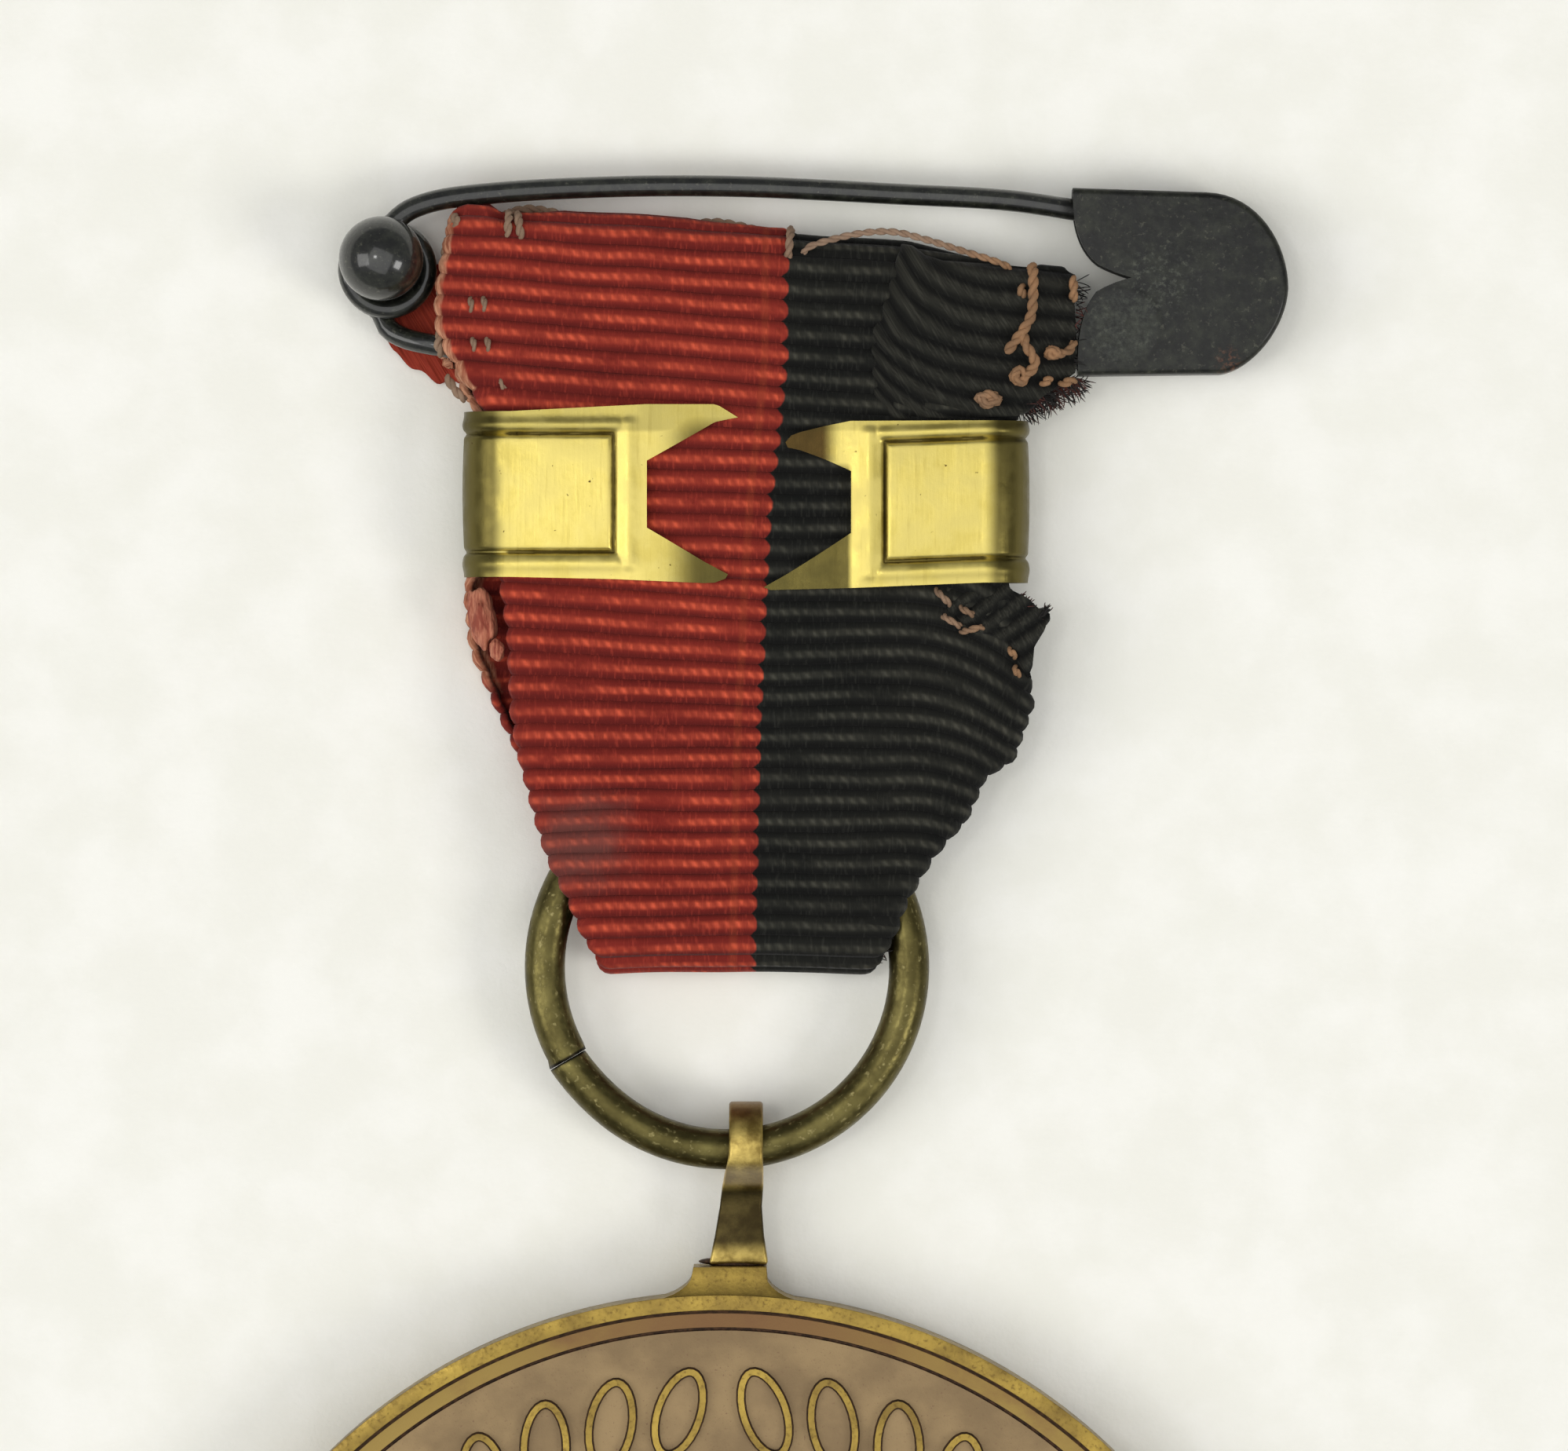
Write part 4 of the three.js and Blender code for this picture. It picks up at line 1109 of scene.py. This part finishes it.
outline = [(9.85, 46.92)]
arc_to(outline, (9.8, 45.3), (10.6, 44.75))
arc_to(outline, (11.1, 44.5), (11.5, 44.4))
arc_to(outline, (10.9, 44.25), (10.5, 44.0))
arc_to(outline, (9.9, 43.2), (10.0, 41.65))
outline.append((14.0, 41.7))
arc_to(outline, (14.9, 41.8), (15.85, 43.0), (15.9, 44.1))
arc_to(outline, (15.9, 45.3), (15.1, 46.75), (13.6, 46.8))
cap_mesh = bpy.data.meshes.new("guard")
cap_mesh.from_pydata([(px, py, CAP_TOP_Z) for px, py in outline], [], [list(range(len(outline)))])
cap = new_piece("guard", cap_mesh)
whole(cap)
bpy.ops.mesh.extrude_region_move(TRANSFORM_OT_translate={"value": (0, 0, CAP_LOW_Z - CAP_TOP_Z)})
bpy.ops.mesh.select_all(action="SELECT")
bpy.ops.mesh.normals_make_consistent(inside=False)
bpy.ops.object.mode_set(mode="OBJECT")
OPEN_X = 11.6
pick(cap, "EDGE", lambda a, b: abs(a.z - b.z) < 0.01 and (
    max(a.x, b.x) > OPEN_X or abs((a.y + b.y) / 2 - 44.3) > 2.6))
bpy.ops.mesh.bevel(offset=CAP_ROUND, segments=5, affect="EDGES", clamp_overlap=True)
bpy.ops.object.mode_set(mode="OBJECT")
pick(cap, "FACE", lambda c, n: n.x < -0.15 and c.x < OPEN_X and abs(n.z) < 0.2)
bpy.ops.mesh.delete(type="FACE")
bpy.ops.object.mode_set(mode="OBJECT")
add_modifier(cap, "SOLIDIFY", thickness=CAP_SHEET, offset=-1)
smooth(cap, 35)
settle(cap, "pin_guard", "pin", "black_enamel", "guard_cap", finish=lacquer)


# ---------------------------------------------------------------------------
# Sewing thread, two yarns twisted together: the stitches that close the sleeve and
# the pleat, their loose ends, their knots, and the loops along the ribbon's worn edge.
# ---------------------------------------------------------------------------
THREAD_R = 0.1

sewing = Finish("tan_sewing_thread")
tint = sewing.noise(1.5, 3)
fibre = sewing.noise(16.0, 3)
tan = sewing.mix(sewing.ease(tint, 0.3, 0.7), paint(122, 98, 78), paint(146, 120, 98))
orange = sewing.mix(sewing.ease(tint, 0.3, 0.7), paint(122, 92, 64), paint(156, 116, 80))
thread_colour = sewing.mix(sewing.ease(sewing.along("X"), 5.5, 8.5), tan, orange)
thread_colour = sewing.mix(0.5 * sewing.ease(fibre, 0.55, 0.75), thread_colour, paint(112, 78, 62))
sewing.shade(Base_Color=thread_colour, Roughness=0.8 + 0.1 * fibre)
sewing.bump(fibre, 0.03, 0.7)


def yarns(points, radius=THREAD_R, twists=1.5):
    """The two yarns of a thread that follows the points, each winding round the thread's middle."""
    rough = np.array(points, float)
    length = np.linalg.norm(np.diff(rough, axis=0), axis=1).sum()
    path = flowing(points, max(12, int(length * 14)))
    along = np.gradient(path, axis=0)
    along /= np.linalg.norm(along, axis=1)[:, None]
    aside = np.cross(along, (0.12, 0.07, 1.0))
    aside /= np.linalg.norm(aside, axis=1)[:, None]
    upward = np.cross(along, aside)
    turn = (np.linspace(0, length * twists * math.tau, len(path)) + length)[:, None]
    ply = 0.45 * radius * (aside * np.cos(turn) + upward * np.sin(turn))
    return [path + ply, path - ply]


def threads_of(name, runs, *nodes, radius=THREAD_R, ends=0.5, finish=sewing):
    paths = [yarn for points in runs for yarn in yarns(points, radius)]
    made = wire(paths, 0.62 * radius, 8, ends=ends)
    return settle(made, name, "ribbon", "sewing_thread", *nodes, finish=finish)


threads_of("thread_ends", [
    [(2.27, 45.06, 2.3), (2.57, 45.3, 2.38), (3.8, 45.62, 2.2), (4.8, 45.67, 2.3), (5.67, 45.46, 2.5),
     (6.9, 45.09, 2.3), (7.84, 44.78, 2.4), (8.1, 44.6, 2.2)],
], "thread_loose", radius=0.1)
threads_of("thread_tails", [
    [(8.68, 44.72, 2.3), (8.72, 44.5, 2.68), (8.71, 43.7, 2.74), (8.62, 43.2, 2.74), (8.21, 42.58, 2.74),
     (7.96, 42.27, 2.7)],
    [(8.45, 42.85, 2.72), (8.5, 42.5, 2.76), (8.7, 42.2, 2.74), (8.77, 41.9, 2.7), (8.5, 41.65, 2.72)],
], "thread_tail", "thread_hook", radius=0.15)
threads_of("stitches_pleat", [
    [(9.85, 44.4, 2.2), (9.86, 44.2, 2.36), (9.86, 43.95, 2.36), (9.85, 43.75, 2.2)],
    [(8.4, 44.15, 2.5), (8.4, 44.0, 2.68), (8.42, 43.85, 2.5)],
    [(9.1, 42.2, 2.3), (9.27, 42.3, 2.55), (9.55, 42.25, 2.45), (9.8, 42.4, 2.3), (9.88, 42.62, 2.2)],
    [(9.0, 41.4, 2.4), (9.1, 41.48, 2.6), (9.2, 41.5, 2.4)],
    [(9.5, 41.4, 2.2), (9.7, 41.46, 2.4), (9.9, 41.52, 2.2)],
], radius=0.13)
threads_of("stitches_corner", [
    [(6.0, 35.65, 2.4), (6.1, 35.52, 2.66), (6.28, 35.34, 2.68), (6.4, 35.2, 2.4)],
    [(6.68, 35.16, 2.45), (6.82, 35.05, 2.7), (6.98, 34.96, 2.7), (7.1, 34.9, 2.45)],
    [(6.15, 34.94, 2.2), (6.3, 34.84, 2.6), (6.55, 34.68, 2.66), (6.7, 34.6, 2.5)],
    [(6.7, 34.46, 2.3), (6.9, 34.5, 2.64), (7.2, 34.57, 2.7), (7.42, 34.6, 2.45)],
    [(8.05, 33.98, 2.4), (8.14, 33.86, 2.66), (8.22, 33.75, 2.4)],
    [(8.2, 33.48, 2.4), (8.25, 33.35, 2.6), (8.32, 33.22, 2.4)],
], "stitch_flap_1", "stitch_flap_2", "stitch_flap_3", radius=0.1)
threads_of("stitches_top", [
    [(-5.97, 46.25, 1.6), (-5.97, 46.1, 2.1), (-6.0, 45.8, 2.32), (-6.0, 45.55, 2.15)],
    [(-5.74, 46.2, 1.7), (-5.71, 46.05, 2.15), (-5.66, 45.7, 2.3), (-5.64, 45.48, 2.1)],
    [(1.94, 45.78, 1.6), (1.92, 45.6, 2.12), (1.88, 45.2, 2.3), (1.85, 44.9, 2.15)],
], "stitch_top_left", "stitch_top_inner", "stitch_top_middle", radius=0.12)
threads_of("edge_loops", [
    [(-7.5, 46.1, 1.85), (-7.48, 46.05, 2.1), (-7.46, 45.95, 2.15), (-7.5, 45.7, 1.9)],
    [(-7.52, 45.6, 1.9), (-7.7, 45.4, 1.95), (-7.76, 45.1, 1.9), (-7.66, 44.85, 1.75)],
    [(-7.62, 44.4, 1.9), (-7.84, 44.3, 1.95), (-7.9, 44.05, 1.9), (-7.84, 43.8, 1.75)],
    [(-7.72, 42.95, 1.9), (-7.9, 42.85, 1.95), (-7.96, 42.5, 1.9), (-7.86, 42.2, 1.75)],
    [(-7.72, 41.65, 1.9), (-7.66, 41.5, 1.95), (-7.45, 41.2, 1.95), (-7.2, 40.95, 1.9)],
], radius=0.13, ends=0.6)
threads_of("edge_dashes", [
    [(-7.04, 43.8, 2.1), (-7.04, 43.74, 2.34), (-7.02, 43.5, 2.34), (-7.02, 43.44, 2.1)],
    [(-6.68, 43.82, 2.1), (-6.67, 43.76, 2.34), (-6.65, 43.52, 2.34), (-6.65, 43.46, 2.1)],
    [(-6.98, 42.68, 2.1), (-6.97, 42.62, 2.34), (-6.94, 42.38, 2.34), (-6.93, 42.3, 2.1)],
    [(-6.58, 42.7, 2.1), (-6.57, 42.62, 2.34), (-6.54, 42.38, 2.34), (-6.52, 42.3, 2.1)],
    [(-6.28, 41.58, 2.1), (-6.25, 41.53, 2.37), (-6.12, 41.3, 2.37), (-6.08, 41.22, 2.1)],
], radius=0.09, ends=0.6)
threads_of("edge_lint", [
    [(-6.2, 46.15, 0.8), (-5.6, 46.36, 0.8), (-4.9, 46.3, 0.8), (-4.3, 46.12, 0.8)],
    [(-0.9, 45.92, 0.8), (-0.2, 45.99, 0.8), (0.6, 45.86, 0.8), (1.3, 45.65, 0.8)],
], radius=0.13)


def knot(place, size, seed):
    """A tight little tangle of thread."""
    pick_one = random.Random(seed)
    lean = pick_one.uniform(0, math.tau)
    turns = np.linspace(0, 7 * math.pi, 40)
    return [(place[0] + size[0] * math.cos(t + lean) * (0.75 + 0.25 * math.cos(2.3 * t)),
             place[1] + size[1] * math.sin(t + lean) * (0.75 + 0.25 * math.sin(1.7 * t)),
             place[2] + size[2] * math.sin(0.63 * t)) for t in turns]


threads_of("thread_knots", [
    knot((8.34, 41.62, 2.62), (0.2, 0.22, 0.12), 3), knot((7.47, 40.98, 2.62), (0.3, 0.17, 0.1), 5),
    knot((9.27, 42.27, 2.5), (0.16, 0.12, 0.08), 8)], "knot_upper", "knot_lower", radius=0.12)

# Two worn lumps of the old edge, pressed out beside the fold under the bar.
LUMPS = (((-6.75, 34.85, 1.35), (0.4, 0.84, 0.6), 1.3),
         ((-6.32, 33.95, 1.7), (0.2, 0.32, 0.3), 4.1))
lumps = []
for place, size, seed in LUMPS:
    bpy.ops.mesh.primitive_ico_sphere_add(subdivisions=5, radius=1, location=(0, 0, 0))
    lump = bpy.context.object
    for point in lump.data.vertices:
        bulge = 1 + 0.22 * noise.noise(point.co * 1.7 + Vector((seed, 0, 0)))
        bulge += 0.05 * noise.noise(point.co * 7)
        point.co = Vector([c * s for c, s in zip(point.co * bulge, size)])
    lump.location = place
    lump.rotation_euler.z = math.radians(8)
    done(lump)
    lumps.append(lump)
lump = join(lumps)
bpy.ops.object.shade_smooth()
worn_edge = Finish("worn_pink_edge")
worn_place = worn_edge.node("Mapping", None, {0: worn_edge.place, "Scale": (7, 1.2, 1)})
worn_threads = worn_edge.noise(1.6, 3, place=worn_place)
worn_patch = worn_edge.noise(1.5, 3)
bleached = worn_edge.ease(worn_threads + 0.4 * (worn_patch - 0.5), 0.35, 0.65)
worn_edge.shade(Roughness=0.8 + 0.1 * worn_patch,
                Base_Color=worn_edge.mix(bleached, paint(140, 66, 48), paint(192, 122, 94)))
worn_edge.bump(worn_threads, 0.06, 0.8)
settle(lump, "ribbon_worn_lumps", "ribbon", "ribbon_cloth", finish=worn_edge)


# ---------------------------------------------------------------------------
# Frayed silk: single hairs that stand out of the cut edges, thickest where the pleat
# was cut off beside the guard.
# ---------------------------------------------------------------------------
HAIR_R = 0.014
chance = random.Random(96)


def hairs(count, start, stop, z, toward, spread_deg, length):
    """Single hairs rooted between two places, curling about one way."""
    made = []
    for _ in range(count):
        share = chance.random()
        x = start[0] + (stop[0] - start[0]) * share
        y = start[1] + (stop[1] - start[1]) * share
        heading = math.radians(toward + chance.gauss(0, spread_deg))
        curl = chance.gauss(0, 1.3)
        step = chance.uniform(*length) / 7
        height = chance.uniform(*z)
        slant = chance.uniform(-0.5, 0.25)
        path = []
        for _ in range(8):
            path.append((x, y, max(0.06, height)))
            x += step * math.cos(heading)
            y += step * math.sin(heading)
            height += step * slant
            heading += curl * step
        made.append(np.array(path))
    return made


fray_dark = Finish("frayed_dark_silk")
fray_tone = fray_dark.noise(1.4, 2)
fray_dark.shade(Roughness=0.85 + 0.1 * fray_tone, Base_Color=fray_dark.mix(
    fray_dark.ease(fray_tone, 0.5, 0.66), paint(24, 22, 20), paint(88, 44, 36)))
dark_fray = wire(
    hairs(260, (8.3, 40.75), (9.95, 41.6), (1.0, 2.4), -38, 34, (0.25, 0.75))
    + hairs(50, (9.85, 41.6), (9.95, 44.3), (1.4, 2.3), -10, 40, (0.2, 0.45))
    + hairs(46, (8.85, 34.8), (9.12, 35.0), (1.6, 2.3), 62, 22, (0.15, 0.35))
    + hairs(30, (8.3, 35.5), (8.85, 34.8), (1.8, 2.4), 30, 40, (0.1, 0.3)), HAIR_R, 4, ends=0.3)
settle(dark_fray, "fray_black", "ribbon", "ribbon_cloth", finish=fray_dark)
fold_fray = wire(hairs(36, (4.1, 25.3), (4.7, 25.9), (0.6, 2.1), -45, 45, (0.2, 0.5)), HAIR_R, 4, ends=0.3)
settle(fold_fray, "fray_fold", "fold", "ribbon_cloth", finish=fray_dark)

bpy.context.view_layer.update()
